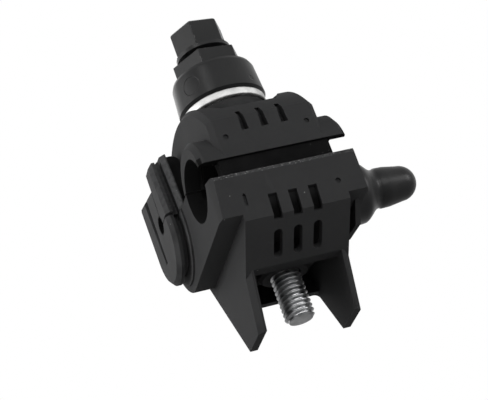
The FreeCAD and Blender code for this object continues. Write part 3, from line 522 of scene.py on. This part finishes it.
@dataclass(frozen=True)
class Rubber(Finish):
    """Moulded rubber: softer grain, faint bloom, rubbed edges that are lightened as wear and as a painted
    highlight, and tubes along X painted darker as shade.
    """

    grain_height: float = 0.01 * MM
    bloom: float = 1.6
    edge_factor: float = 1.0
    dark_tubes: tuple[tuple[float, float, float, float], ...] = ()
    dark_factor: float = 0.1
    low_tone: float = 0.85
    speck_share: float = 0.4
    speck_colour: tuple[float, ...] = (0.45, 0.45, 0.44, 1.0)
    wear_share: float = 0.7
    rough_swing: float = 0.12
    bump_strength: float = 0.5

    def material(self) -> bpy.types.Material:
        """Build the material.

        Returns:
            The finished material.
        """
        material, graph, shader = self.start()
        tone = self.group(graph, NodeGroups.mottle(), Scale=160.0, Contrast=0.7)
        specks = self.group(graph, NodeGroups.dust(), Scale=520.0, Size=0.06, Density=0.25)
        # rubbed edges: the rounded faces are lightened as wear and as a painted highlight
        wear_and_highlight = self.group(graph, NodeGroups.edge_wear())
        worn_and_highlit = graph.math("MULTIPLY", wear_and_highlight, self.wear_share)
        base = graph.mix(tone, self.tint(self.low_tone), self.tint(self.bloom))
        base = graph.mix(graph.math("MULTIPLY", specks, self.speck_share), base, self.speck_colour)
        base = graph.mix(worn_and_highlit, base, self.tint(self.edge_factor))
        # painted shade: the rubber inside each listed tube is darkened where it lies in shade
        for across, height, radius, share in self.dark_tubes:
            inside = self.group(graph, NodeGroups.tube_mask(), Y=across, Z=height, Radius=radius)
            tint = self.tint(self.dark_factor)
            base = graph.mix(graph.math("MULTIPLY", inside, share), base, tint)
        swing = graph.math("MULTIPLY", tone, self.rough_swing)
        rough = graph.math("ADD", self.roughness - self.rough_swing / 2, swing)
        height = self.group(graph, NodeGroups.mould_grain(), Scale=2100.0, Coarse=0.8)
        bump = graph.add("Bump", Strength=self.bump_strength, Distance=self.grain_height, Height=height)
        graph.feed(shader, "Base Color", base)
        graph.feed(shader, "Roughness", rough)
        graph.feed(shader, "Normal", bump.outputs[0])
        shader.inputs["IOR"].default_value = PLASTIC_IOR
        return material


@dataclass(frozen=True)
class PlatedSteel(Finish):
    """Zinc or galvanised steel with spangle, dull patches and fine turning marks."""

    spangle_scale: float = 700.0
    dark_factor: float = 0.55
    bump_height: float = 0.02 * MM
    light_factor: float = 1.05
    spangle_share: float = 0.22
    spangle_factor: float = 1.3
    patch_rough: float = 0.14
    spangle_rough: float = 0.08
    scratch_depth: float = 0.5
    bump_strength: float = 0.4

    def material(self) -> bpy.types.Material:
        """Build the material.

        Returns:
            The finished material.
        """
        material, graph, shader = self.start()
        place = graph.place()
        cells = graph.add("TexVoronoi", Vector=place, Scale=self.spangle_scale)
        tone = graph.add("SeparateColor", Color=cells.outputs["Color"]).outputs[1]
        patch = self.group(graph, NodeGroups.mottle(), Scale=320.0, Contrast=0.8)
        rub = self.group(graph, NodeGroups.scratches(), Scale=500.0, Amount=0.6)
        base = graph.mix(patch, self.tint(self.dark_factor), self.tint(self.light_factor))
        spangle = graph.math("MULTIPLY", tone, self.spangle_share)
        base = graph.mix(spangle, base, self.tint(self.spangle_factor))
        rough = graph.math("ADD", self.roughness, graph.math("MULTIPLY", patch, self.patch_rough))
        rough = graph.math("ADD", rough, graph.math("MULTIPLY", tone, self.spangle_rough))
        height = self.group(graph, NodeGroups.mould_grain(), Scale=1500.0, Coarse=1.0)
        height = graph.math("SUBTRACT", height, graph.math("MULTIPLY", rub, self.scratch_depth))
        bump = graph.add("Bump", Strength=self.bump_strength, Distance=self.bump_height, Height=height)
        graph.feed(shader, "Base Color", base)
        graph.feed(shader, "Roughness", rough)
        graph.feed(shader, "Normal", bump.outputs[0])
        shader.inputs["Metallic"].default_value = 1.0
        return material


@dataclass
class Finishes:
    """Every finish of the connector, with its built material."""

    table: dict[Slot, Finish] = field(default_factory=lambda: {
        Slot.HOUSING: MouldedPlastic(
            Slot.HOUSING, "housing_plastic", (0.0205, 0.0206, 0.021), 0.74, 0.03,
            # painted shade in the cable bore, one tube for the upper half and one for the lower
            grease=((-0.2 * MM, -2.5 * MM, 9.8 * MM), (-1.2 * MM, 0.4 * MM, 9.8 * MM)),
            # painted shade in the sunk slots of the front face
            pocket=PocketZone(
                half_x=9.5 * MM, low_z=-16.4 * MM, full_z=-14.675 * MM, high_z=-9.5 * MM,
                face_y=-13.9 * MM, face_z=-5.6 * MM, slope=0.17, shallow=0.5 * MM, deep=1.6 * MM,
            ),
        ),
        Slot.SHEAR_PLASTIC: MouldedPlastic(
            Slot.SHEAR_PLASTIC, "shear_head_plastic", (0.0095, 0.0096, 0.0098), 0.35, 0.13,
            grain_scale=2600.0, grain_height=0.008 * MM, edge_factor=1.8, dust_amount=0.2, fleck_amount=0.15,
            discs=((-8.7 * MM, 6.49 * MM, 32.4 * MM, 2.7 * MM), (6.76 * MM, 4.7 * MM, 30.4 * MM, 0.9 * MM)),
        ),
        Slot.ZINC_STEEL: PlatedSteel(Slot.ZINC_STEEL, "zinc_steel", (0.42, 0.424, 0.43), 0.26),
        Slot.GALVANISED: PlatedSteel(
            Slot.GALVANISED, "galvanised_steel", (0.45, 0.45, 0.445), 0.5, 0.5, 1500.0, 0.6
        ),
        Slot.SEAL_RUBBER: Rubber(
            Slot.SEAL_RUBBER, "seal_rubber", (0.02, 0.02, 0.0203), 0.6, 0.0,
            # painted shade on the liner in the mouth and on the collars behind the flanges
            dark_tubes=((0.0, 0.0, 11.5 * MM, 0.85), (25.0 * MM, 16.0 * MM, 9.0 * MM, 0.6)),
        ),
        Slot.GLAND_RUBBER: Rubber(
            # gland rubber: the strong edge tint lightens the flange's rubbed front edges, partly as a painted
            # highlight
            Slot.GLAND_RUBBER, "gland_rubber", (0.0205, 0.0206, 0.021), 0.72, 0.04, edge_factor=2.6,
            # painted shade in the gland's pilot hole
            dark_tubes=((25.2 * MM, 3.6 * MM, 2.75 * MM, 0.9),),
        ),
        Slot.CAP_RUBBER: Rubber(
            Slot.CAP_RUBBER, "cap_rubber", (0.009, 0.009, 0.0092), 0.36, 0.14, 0.004 * MM, 1.3
        ),
        Slot.TINNED_CONTACT: PlatedSteel(Slot.TINNED_CONTACT, "tinned_contact", (0.5, 0.49, 0.46), 0.32),
    })
    materials: dict[Slot, bpy.types.Material] = field(default_factory=dict)

    def of(self, slot: Slot) -> bpy.types.Material:
        """Look up a slot's material, building it on first use.

        Args:
            slot: the record's material slot.

        Returns:
            The material.
        """
        if slot not in self.materials:
            self.materials[slot] = self.table[slot].material()
        return self.materials[slot]


@dataclass
class Workshop:
    """Makes pieces out of meshes, dresses them and seats them on their bodies."""

    finishes: Finishes = field(default_factory=Finishes)

    def dress(self, piece: bpy.types.Object, slot: Slot) -> None:
        """Give every face of the piece the slot's material."""
        piece.data.materials.clear()
        piece.data.materials.append(self.finishes.of(slot))

    def keep_node(self, node: str, slot: Slot) -> None:
        """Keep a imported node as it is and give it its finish.

        Args:
            node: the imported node's name.
            slot: the record's material slot.
        """
        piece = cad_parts[node]
        for place in piece.material_slots:
            place.material = self.finishes.of(slot)
        LOG.info("kept node %s", node)

    def seat(self, name: str, work: bmesh.types.BMesh, body: Body, slot: Slot,
             nodes: Sequence[str] = (), smooth_angle: float = 35.0, flat_faces: bool = False) -> bpy.types.Object:
        """Turn a finished bmesh into a piece that rides on its body.

        Args:
            name: the piece's name.
            work: the mesh; it is freed.
            body: the body it rides on.
            slot: its material slot.
            nodes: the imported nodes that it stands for.
            smooth_angle: edges sharper than this stay sharp, in degrees.
            flat_faces: whether the large faces stay flat between their rounded edges.

        Returns:
            The new object.
        """
        mesh = bpy.data.meshes.new(name)
        for face in work.faces:
            face.smooth = True
        for edge in work.edges:
            edge.smooth = len(edge.link_faces) == 2 and edge.calc_face_angle(0.0) < math.radians(smooth_angle)
        work.to_mesh(mesh)
        work.free()
        piece = bpy.data.objects.new(name, mesh)
        bpy.context.scene.collection.objects.link(piece)
        self.dress(piece, slot)
        if flat_faces:
            weigh = piece.modifiers.new("flat_faces", "WEIGHTED_NORMAL")
            weigh.keep_sharp = True
            weigh.weight = 80
        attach(piece, body.value)
        if nodes:
            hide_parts(*nodes)
        LOG.info("made %s with %d faces", name, len(mesh.polygons))
        return piece

    @staticmethod
    def copy_of(node: str) -> bmesh.types.BMesh:
        """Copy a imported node's mesh, with its doubles merged and its flat faces joined.

        Args:
            node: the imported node's name.

        Returns:
            The copy.
        """
        work = bmesh.new()
        work.from_mesh(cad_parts[node].data)
        bmesh.ops.remove_doubles(work, verts=work.verts, dist=MERGE_DISTANCE)
        bmesh.ops.dissolve_limit(
            work, angle_limit=math.radians(0.5), use_dissolve_boundaries=False,
            verts=work.verts, edges=work.edges, delimit={"NORMAL"},
        )
        work.faces.layers.float.new(ROUNDED)
        return work

    @staticmethod
    def bevel(work: bmesh.types.BMesh, edges: list[bmesh.types.BMEdge], width: float, segments: int) -> None:
        """Round the given edges and mark the new faces.

        Args:
            work: the mesh.
            edges: the edges.
            width: the radius of the rounding, in metres.
            segments: faces across the rounding.
        """
        made = bmesh.ops.bevel(
            work, geom=edges, offset=width, offset_type="OFFSET", affect="EDGES", segments=segments,
            profile=0.5, clamp_overlap=True, material=-1, loop_slide=True,
        )
        mark = work.faces.layers.float[ROUNDED]
        for face in made["faces"]:
            face[mark] = 1.0
        bmesh.ops.remove_doubles(work, verts=work.verts, dist=MERGE_DISTANCE)

    def round_edges(self, work: bmesh.types.BMesh, width: float, sharp: float = 28.0, segments: int = 2,
                    shortest: float = 0.8 * MM, parting: float = 0.0) -> None:
        """Round the sharp edges of a mesh.

        Args:
            work: the mesh.
            width: the radius of the rounding, in metres.
            sharp: edges that turn by more than this are rounded, in degrees.
            segments: faces across the rounding.
            shortest: edges shorter than this stay as they are.
            parting: edges that lie this near to the parting plane stay as they are.
        """
        edges = [
            edge for edge in work.edges
            if len(edge.link_faces) == 2
            and edge.calc_face_angle(0.0) > math.radians(sharp)
            and edge.calc_length() > shortest
            and max(abs(end.co.z - SEAM_Z) for end in edge.verts) >= parting
        ]
        self.bevel(work, edges, width, segments)

    @staticmethod
    def spin(profile: Sequence[tuple[float, float]], axis: Vector, centre: Vector, across: Vector,
             steps: int) -> bmesh.types.BMesh:
        """Turn a profile into a closed round piece.

        Args:
            profile: pairs of place along the axis and radius, in metres.
            axis: the axis, a unit vector.
            centre: a point on the axis from which the places are measured.
            across: a unit vector square to the axis.
            steps: faces round the axis.

        Returns:
            The mesh.
        """
        work = bmesh.new()
        points = [work.verts.new(centre + axis * along + across * radius) for along, radius in profile]
        edges = [work.edges.new(pair) for pair in zip(points, points[1:])]
        bmesh.ops.spin(work, geom=points + edges, cent=centre, axis=axis, dvec=(0, 0, 0),
                       angle=2 * math.pi, steps=steps, use_merge=True, use_duplicate=False)
        bmesh.ops.remove_doubles(work, verts=work.verts, dist=MERGE_DISTANCE / 2)
        bmesh.ops.recalc_face_normals(work, faces=work.faces)
        return work


@dataclass
class Housings:
    """The two moulded jaws and the plug that holds the nut."""

    edge_radius: float = 0.35 * MM
    plug_radius: float = 0.3 * MM
    root_radius: float = 1.4 * MM
    root_band: float = 0.3 * MM
    parting_band: float = 0.4 * MM
    skirt_z: float = -24.2 * MM
    lip_y: float = -12.3 * MM
    lip_z: float = -5.7 * MM
    lip_tilt: tuple[float, float] = (0.1, 0.99)
    hollow_turn: float = -1.0
    root_segments: int = 4

    def build(self, shop: Workshop) -> None:
        """Make the jaws with rounded edges and dress the plug.

        Args:
            shop: the workshop.
        """
        for node, body in (("lower_body", Body.BASE), ("upper_body", Body.JAW)):
            work = shop.copy_of(node)
            if body is Body.BASE:
                self.fill_roots(shop, work)
            shop.round_edges(work, self.edge_radius, parting=self.parting_band)
            if body is Body.BASE:
                self.mark_lip(work)
            shop.seat(f"{node}_moulding", work, body, Slot.HOUSING, [node], flat_faces=True)
        work = shop.copy_of("nut_retainer")
        shop.round_edges(work, self.plug_radius)
        shop.seat("nut_retainer_moulding", work, Body.BASE, Slot.HOUSING, ["nut_retainer"], flat_faces=True)
        shop.keep_node("captive_nut", Slot.ZINC_STEEL)

    def mark_lip(self, work: bmesh.types.BMesh) -> None:
        """Mark the rounded rim of the front lip for the rubbed-edge mask, which lightens it as wear and as a
        painted highlight.

        Args:
            work: the lower jaw's mesh.
        """
        mark = work.faces.layers.float[ROUNDED]
        for face in work.faces:
            centre = face.calc_center_median()
            tilted = self.lip_tilt[0] < face.normal.z < self.lip_tilt[1]
            if tilted and centre.y < self.lip_y and centre.z > self.lip_z:
                face[mark] = 1.0

    def fill_roots(self, shop: Workshop, work: bmesh.types.BMesh) -> None:
        """Fillet the corners where the two legs leave the skirt.

        Args:
            shop: the workshop.
            work: the lower jaw's mesh.
        """
        roots = [
            edge for edge in work.edges
            if len(edge.link_faces) == 2
            and edge.calc_face_angle_signed(0.0) < self.hollow_turn
            and all(abs(end.co.z - self.skirt_z) < self.root_band and end.co.y > SCREW_AXIS_Y for end in edge.verts)
            and abs(edge.verts[0].co.x - edge.verts[1].co.x) < self.root_band
        ]
        shop.bevel(work, roots, self.root_radius, self.root_segments)


@dataclass
class ClampScrew:
    """The bolt with its cut thread, the load washer and the shear head."""

    radius: float = 4.0 * MM
    pitch: float = 1.25 * MM
    thread_turns: int = 24
    steps_per_turn: int = 56
    tip_chamfer: float = 0.9 * MM
    depth_share: float = 0.6134
    crest_drop: float = 0.04
    run_out: float = 1.5
    shank_overlap: float = 0.1
    shank_steps: int = 64
    washer_edge: float = 0.45 * MM
    washer_bore_gap: float = 0.01 * MM
    washer_arc_steps: int = 5
    washer_steps: int = 128
    head_edge: float = 0.3 * MM

    def build(self, shop: Workshop) -> None:
        """Make the screw's pieces.

        Args:
            shop: the workshop.
        """
        self.make_thread(shop)
        self.make_shank(shop)
        self.make_washer(shop)
        work = shop.copy_of("shear_head")
        shop.round_edges(work, self.head_edge)
        shop.seat("shear_head_moulding", work, Body.SCREW, Slot.SHEAR_PLASTIC, ["shear_head"], flat_faces=True)
        shop.keep_node("bolt_seal", Slot.SEAL_RUBBER)

    def thread_profile(self, start: float) -> list[tuple[float, float]]:
        """Lay out one pitch of a cut thread.

        Args:
            start: the height at which it begins, in metres.

        Returns:
            Pairs of height and radius, in metres.
        """
        depth = self.depth_share * self.pitch
        root, shoulder = self.radius - depth, self.radius - self.crest_drop * depth
        shares = ((0.0, root), (0.0625, root), (0.42, shoulder), (0.48, self.radius),
                  (0.54, self.radius), (0.6, shoulder), (0.9375, root), (1.0, root))
        return [(start + share * self.pitch, radius) for share, radius in shares]

    def make_thread(self, shop: Workshop) -> None:
        """Wind one pitch of the thread up the bolt, cut both ends square and chamfer the tip.

        Args:
            shop: the workshop.
        """
        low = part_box("bolt")[0].z
        centre = Vector((0.0, SCREW_AXIS_Y, 0.0))
        work = bmesh.new()
        profile = self.thread_profile(low - self.pitch)
        points = [work.verts.new(centre + Vector((radius, 0, height))) for height, radius in profile]
        edges = [work.edges.new(pair) for pair in zip(points, points[1:])]
        steps = self.steps_per_turn * self.thread_turns
        bmesh.ops.spin(work, geom=points + edges, cent=centre, axis=(0, 0, 1),
                       dvec=(0, 0, self.pitch / self.steps_per_turn), angle=2 * math.pi * self.thread_turns,
                       steps=steps, use_merge=False, use_duplicate=False)
        bmesh.ops.remove_doubles(work, verts=work.verts, dist=MERGE_DISTANCE)
        top = low + (self.thread_turns - self.run_out) * self.pitch
        for height, normal in ((low, (0, 0, -1)), (top, (0, 0, 1))):
            cut = bmesh.ops.bisect_plane(
                work, geom=list(work.verts) + list(work.edges) + list(work.faces), dist=CUT_DISTANCE,
                plane_co=(0, 0, height), plane_no=normal, clear_outer=True,
            )
            rim = [item for item in cut["geom_cut"] if isinstance(item, bmesh.types.BMEdge)]
            bmesh.ops.holes_fill(work, edges=rim, sides=0)
        for vertex in work.verts:
            away = Vector((vertex.co.x, vertex.co.y - SCREW_AXIS_Y, 0.0))
            widest = self.radius - self.tip_chamfer + max(0.0, vertex.co.z - low)
            if away.length > widest:
                away.length = widest
                vertex.co = (away.x, SCREW_AXIS_Y + away.y, vertex.co.z)
        bmesh.ops.recalc_face_normals(work, faces=work.faces)
        shop.seat("bolt_thread", work, Body.SCREW, Slot.ZINC_STEEL, ["bolt"], smooth_angle=28.0)

    def turn(self, shop: Workshop, profile: Sequence[tuple[float, float]], steps: int) -> bmesh.types.BMesh:
        """Turn a profile about the screw's axis."""
        return shop.spin(profile, Vector((0, 0, 1)), Vector((0, SCREW_AXIS_Y, 0)), Vector((1, 0, 0)), steps)

    def make_shank(self, shop: Workshop) -> None:
        """Turn the plain shank above the thread.

        Args:
            shop: the workshop.
        """
        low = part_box("bolt")[0].z
        start = low + (self.thread_turns - self.run_out - self.shank_overlap) * self.pitch
        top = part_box("load_washer")[1].z
        profile = [(start, 0.0), (start, self.radius), (top, self.radius), (top, 0.0)]
        work = self.turn(shop, profile, self.shank_steps)
        shop.seat("bolt_shank", work, Body.SCREW, Slot.ZINC_STEEL)

    def make_washer(self, shop: Workshop) -> None:
        """Turn the load washer with rolled edges.

        Args:
            shop: the workshop.
        """
        low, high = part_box("load_washer")
        outer, edge, bore = (high.x - low.x) / 2, self.washer_edge, self.radius + self.washer_bore_gap
        profile = [(low.z, bore)]
        turns = [math.pi / 2 * step / self.washer_arc_steps for step in range(self.washer_arc_steps + 1)]
        arc = [(edge * (1 - math.cos(turn)), edge * (1 - math.sin(turn))) for turn in turns]
        for height, way in ((low.z, 1), (high.z, -1)):
            rim = [(height + way * rise, outer - inset) for rise, inset in arc]
            profile += rim if way > 0 else rim[::-1]
        profile += [(high.z, bore), (low.z, bore)]
        work = self.turn(shop, profile, self.washer_steps)
        shop.seat("load_washer_disc", work, Body.SCREW, Slot.GALVANISED, ["load_washer"])


@dataclass
class Glands:
    """The four gland halves, the collars behind their flanges and the end cap."""

    edge_radius: float = 0.4 * MM
    bell_radius: float = 8.6 * MM
    neck_radius: float = 5.3 * MM
    finger_radius: float = 5.6 * MM
    tip_radius: float = 4.9 * MM
    tip_steps: int = 12
    cap_steps: int = 96
    rim_steps: tuple[tuple[float, float], ...] = ((0.0, 0.0), (1.5, 0.0), (1.8, -0.4))
    bell_steps: tuple[tuple[float, float], ...] = ((2.1, 0.1), (7.0, 0.0))
    finger_steps: tuple[tuple[float, float], ...] = ((13.2, -0.18), (13.6, 0.0), (16.0, -0.06))
    shoulder_start: float = 7.4 * MM
    shoulder_length: float = 5.4 * MM
    shoulder_steps: int = 8
    plate_thickness: float = 2.0 * MM
    neck_length: float = 1.6 * MM
    neck_inset: float = 2.2 * MM
    neck_rise: float = 0.1 * MM
    slack: float = 0.1 * MM
    front_tilt: float = -0.4
    plate_wear: float = 0.5
    collar_near: float = 14.1 * MM
    collar_far: float = 18.35 * MM
    collar_front: float = 21.0 * MM
    collar_back: float = 29.0 * MM
    collar_low: float = 5.0 * MM
    collar_top: float = 20.9 * MM
    collar_radius: float = 2.2 * MM
    collar_segments: int = 6
    parting_band: float = 0.4 * MM

    def build(self, shop: Workshop) -> None:
        """Make the gland halves with rounded rims, the collars and the cap.

        Args:
            shop: the workshop.
        """
        for side in ("left", "right"):
            for jaw, body in (("lower", Body.BASE), ("upper", Body.JAW)):
                node = f"gland_{side}_{jaw}"
                work = shop.copy_of(node)
                upper = body is Body.JAW
                if upper:
                    self.lift_neck(work, node)
                shop.round_edges(work, self.edge_radius, parting=self.parting_band)
                if upper:
                    self.mark_flange(work, node)
                shop.seat(f"{node}_moulding", work, body, Slot.GLAND_RUBBER, [node], flat_faces=True)
            self.make_collar(shop, side)
        self.make_cap(shop)

    def make_collar(self, shop: Workshop, side: str) -> None:
        """Make the collar that fills the gap between a gland's flange and the upper jaw; the seal rubber's second
        shade tube paints it dark as shade.

        Args:
            shop: the workshop.
            side: left or right.
        """
        way = -1.0 if side == "left" else 1.0
        low = Vector((self.collar_near, self.collar_front, self.collar_low))
        high = Vector((self.collar_far, self.collar_back, self.collar_top))
        middle, size = (low + high) / 2, high - low
        work = bmesh.new()
        work.faces.layers.float.new(ROUNDED)
        place = Matrix.Translation((way * middle.x, middle.y, middle.z)) @ Matrix.Diagonal((*size, 1.0))
        bmesh.ops.create_cube(work, size=1.0, matrix=place)
        corner = [
            edge for edge in work.edges
            if all(end.co.z > middle.z and abs(end.co.x) < middle.x for end in edge.verts)
        ]
        shop.bevel(work, corner, self.collar_radius, self.collar_segments)
        shop.seat(f"gland_{side}_collar", work, Body.JAW, Slot.SEAL_RUBBER)

    @staticmethod
    def outer_reach(node: str) -> float:
        """Measure how far from the middle a gland half's outer face lies."""
        low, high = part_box(node)
        return max(abs(low.x), abs(high.x))

    def lift_neck(self, work: bmesh.types.BMesh, node: str) -> None:
        """Raise the neck's top until it slopes from the plate's top to the flange's.

        Args:
            work: the gland half's mesh.
            node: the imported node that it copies.
        """
        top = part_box(node)[1].z
        inside = self.outer_reach(node) - self.plate_thickness - self.slack / 2
        reach = inside - self.neck_length - self.slack
        plate_top = max(vertex.co.z for vertex in work.verts if abs(vertex.co.x) > inside + self.slack)
        neck_top = plate_top - self.neck_inset
        for vertex in work.verts:
            at_neck = reach < abs(vertex.co.x) < inside + self.slack
            if at_neck and abs(vertex.co.z - neck_top) < self.slack:
                share = (inside - abs(vertex.co.x)) / self.neck_length
                vertex.co.z = plate_top + self.neck_rise + share * (top - plate_top)

    def mark_flange(self, work: bmesh.types.BMesh, node: str) -> None:
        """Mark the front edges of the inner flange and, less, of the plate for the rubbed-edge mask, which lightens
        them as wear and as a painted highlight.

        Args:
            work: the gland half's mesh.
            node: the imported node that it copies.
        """
        reach = self.outer_reach(node) - self.plate_thickness - self.neck_length + 2 * self.slack
        mark = work.faces.layers.float[ROUNDED]
        for face in work.faces:
            if face.normal.y < self.front_tilt:
                face[mark] = 1.0 if abs(face.calc_center_median().x) < reach else self.plate_wear

    def make_cap(self, shop: Workshop) -> None:
        """Turn the rubber cap: flange, bell, neck and round-ended finger.

        Args:
            shop: the workshop.
        """
        low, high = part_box("end_cap")
        start, tip = low.x, high.x
        flange = (high.z - low.z) / 2
        places = [(0.0, 0.0)]
        for radius, steps in ((flange, self.rim_steps), (self.bell_radius, self.bell_steps)):
            places += [(along * MM, radius + rise * MM) for along, rise in steps]
        for step in range(1, self.shoulder_steps + 1):
            share = step / self.shoulder_steps
            drop = (self.bell_radius - self.neck_radius) * (1 - math.cos(share * math.pi)) / 2
            places.append((self.shoulder_start + self.shoulder_length * share, self.bell_radius - drop))
        places += [(along * MM, self.finger_radius + rise * MM) for along, rise in self.finger_steps]
        profile = [(start + along, radius) for along, radius in places]
        for step in range(self.tip_steps + 1):
            angle = math.pi / 2 * step / self.tip_steps
            profile.append((tip - self.tip_radius * (1 - math.sin(angle)), self.tip_radius * math.cos(angle)))
        centre = Vector((0.0, CAP_AXIS_Y, CAP_AXIS_Z))
        work = shop.spin(profile, Vector((1, 0, 0)), centre, Vector((0, 1, 0)), self.cap_steps)
        shop.seat("end_cap_moulding", work, Body.BASE, Slot.CAP_RUBBER, ["end_cap"], smooth_angle=50.0)


@dataclass
class Contacts:
    """The toothed blades and the rubber liners, seen inside the grooves."""

    def build(self, shop: Workshop) -> None:
        """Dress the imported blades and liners.

        Args:
            shop: the workshop.
        """
        for jaw in ("upper", "lower"):
            for side in ("left", "right"):
                shop.keep_node(f"blade_{jaw}_{side}", Slot.TINNED_CONTACT)
            shop.keep_node(f"main_seal_{jaw}", Slot.SEAL_RUBBER)
            shop.keep_node(f"tap_seal_{jaw}", Slot.SEAL_RUBBER)


@dataclass(frozen=True)
class Lamp:
    """A square soft light: its place in metres, its side in metres and its power in watts."""

    name: str
    place: tuple[float, float, float]
    size: float
    power: float


@dataclass
class Studio:
    """Floor, soft lights, pale surroundings and the camera."""

    turn: float = math.radians(18.78)
    rise: float = math.radians(-23.28)
    roll: float = math.radians(20.08)
    place: Vector = field(default_factory=lambda: Vector((-120.6, -330.9, -156.1)) * MM)
    lens: float = 113.2
    background: float = 1.0
    ambient: float = 0.2
    foot_gap: float = 3.0 * MM
    floor_half: float = 0.6
    floor_drop: float = 0.02 * MM
    floor_tones: tuple[float, float] = (0.8, 0.84)
    floor_roughness: float = 0.7
    target: tuple[float, float, float] = (0.0, 0.01, 0.005)
    lamps: tuple[Lamp, ...] = (
        Lamp("key_left", (-0.9, 0.08, 0.15), 0.6, 11.6),
        Lamp("front_low", (0.1, -0.85, 0.06), 0.6, 5.5),
        Lamp("front_strip", (-0.48, -0.68, 0.45), 0.18, 1.9),
        Lamp("right_front", (0.72, -0.58, 0.12), 0.4, 4.8),
        Lamp("back_top", (-0.1, 0.7, 0.6), 0.8, 2.5),
    )

    def build(self) -> None:
        """Set up everything that isn't the object."""
        self.make_world()
        self.make_floor()
        self.make_lights()
        self.make_camera()
        bpy.context.scene.view_settings.view_transform = "Standard"

    def make_world(self) -> None:
        """Make surroundings that are white to look at and greyer as a light."""
        world = bpy.data.worlds.new("studio")
        bpy.context.scene.world = world
        world.use_nodes = True
        graph = Graph(world.node_tree)
        path = graph.add("LightPath")
        seen = graph.math("MAXIMUM", path.outputs["Is Camera Ray"], path.outputs["Is Transmission Ray"])
        seen = graph.math("MAXIMUM", seen, path.outputs["Is Glossy Ray"])
        background = world.node_tree.nodes["Background"]
        shade = graph.mix(seen, (self.ambient,) * 3 + (1.0,), (self.background,) * 3 + (1.0,))
        graph.feed(background, "Color", shade)
        background.inputs["Strength"].default_value = 1.0

    def make_floor(self) -> None:
        """Make a pale floor that lets light and sight through from below and close to the feet."""
        work = bmesh.new()
        bmesh.ops.create_grid(work, x_segments=1, y_segments=1, size=self.floor_half,
                              matrix=Matrix.Translation((0, 0, CAD_BOX[0].z - self.floor_drop)))
        mesh = bpy.data.meshes.new("floor")
        work.to_mesh(mesh)
        work.free()
        floor = bpy.data.objects.new("floor", mesh)
        bpy.context.scene.collection.objects.link(floor)
        material = bpy.data.materials.new("pale_floor")
        material.use_nodes = True
        graph = Graph(material.node_tree)
        shader = material.node_tree.nodes["Principled BSDF"]
        place = graph.place()
        noise = graph.add("TexNoise", Vector=place, Scale=40.0, Detail=3.0)
        tones = ((tone, tone, tone, 1.0) for tone in self.floor_tones)
        graph.feed(shader, "Base Color", graph.mix(noise.outputs[0], *tones))
        shader.inputs["Roughness"].default_value = self.floor_roughness
        clear = graph.add("BsdfTransparent")
        near = graph.math("LESS_THAN", graph.add("LightPath").outputs["Ray Length"], self.foot_gap)
        behind = graph.math("MAXIMUM", graph.add("NewGeometry").outputs["Backfacing"], near)
        mix = graph.add("MixShader")
        graph.feed(mix, 0, behind)
        graph.feed(mix, 1, shader.outputs[0])
        graph.feed(mix, 2, clear.outputs[0])
        graph.feed(material.node_tree.nodes["Material Output"], "Surface", mix.outputs[0])
        mesh.materials.append(material)

    def make_lights(self) -> None:
        """Hang the soft lights round the object."""
        for lamp in self.lamps:
            data = bpy.data.lights.new(lamp.name, "AREA")
            data.shape = "SQUARE"
            data.size = lamp.size
            data.energy = lamp.power
            light = bpy.data.objects.new(lamp.name, data)
            light.location = lamp.place
            away = Vector(lamp.place) - Vector(self.target)
            light.rotation_euler = away.to_track_quat("Z", "Y").to_euler()
            bpy.context.scene.collection.objects.link(light)

    def make_camera(self) -> None:
        """Put the camera at the photograph's angle, below the feet and rolled."""
        right = Vector((math.cos(self.turn), -math.sin(self.turn), 0.0))
        up = Vector((math.sin(self.turn) * math.sin(self.rise),
                     math.cos(self.turn) * math.sin(self.rise), math.cos(self.rise)))
        back = Vector((-math.sin(self.turn) * math.cos(self.rise),
                       -math.cos(self.turn) * math.cos(self.rise), math.sin(self.rise)))
        across = right * math.cos(self.roll) - up * math.sin(self.roll)
        upward = right * math.sin(self.roll) + up * math.cos(self.roll)
        turn = Matrix((across, upward, back)).transposed()
        data = bpy.data.cameras.new("camera")
        data.lens = self.lens
        data.sensor_width = 36.0
        data.clip_start, data.clip_end = 0.02, 20.0
        camera = bpy.data.objects.new("camera", data)
        camera.matrix_world = Matrix.Translation(self.place) @ turn.to_4x4()
        bpy.context.scene.collection.objects.link(camera)
        bpy.context.scene.camera = camera


def main() -> None:
    """Build every part of the scene in order."""
    logging.basicConfig(level=logging.INFO, format="%(name)s: %(message)s")
    shop = Workshop()
    for assembly in (Housings(), ClampScrew(), Glands(), Contacts()):
        assembly.build(shop)
    Studio().build()


if __name__ == "__main__":
    main()
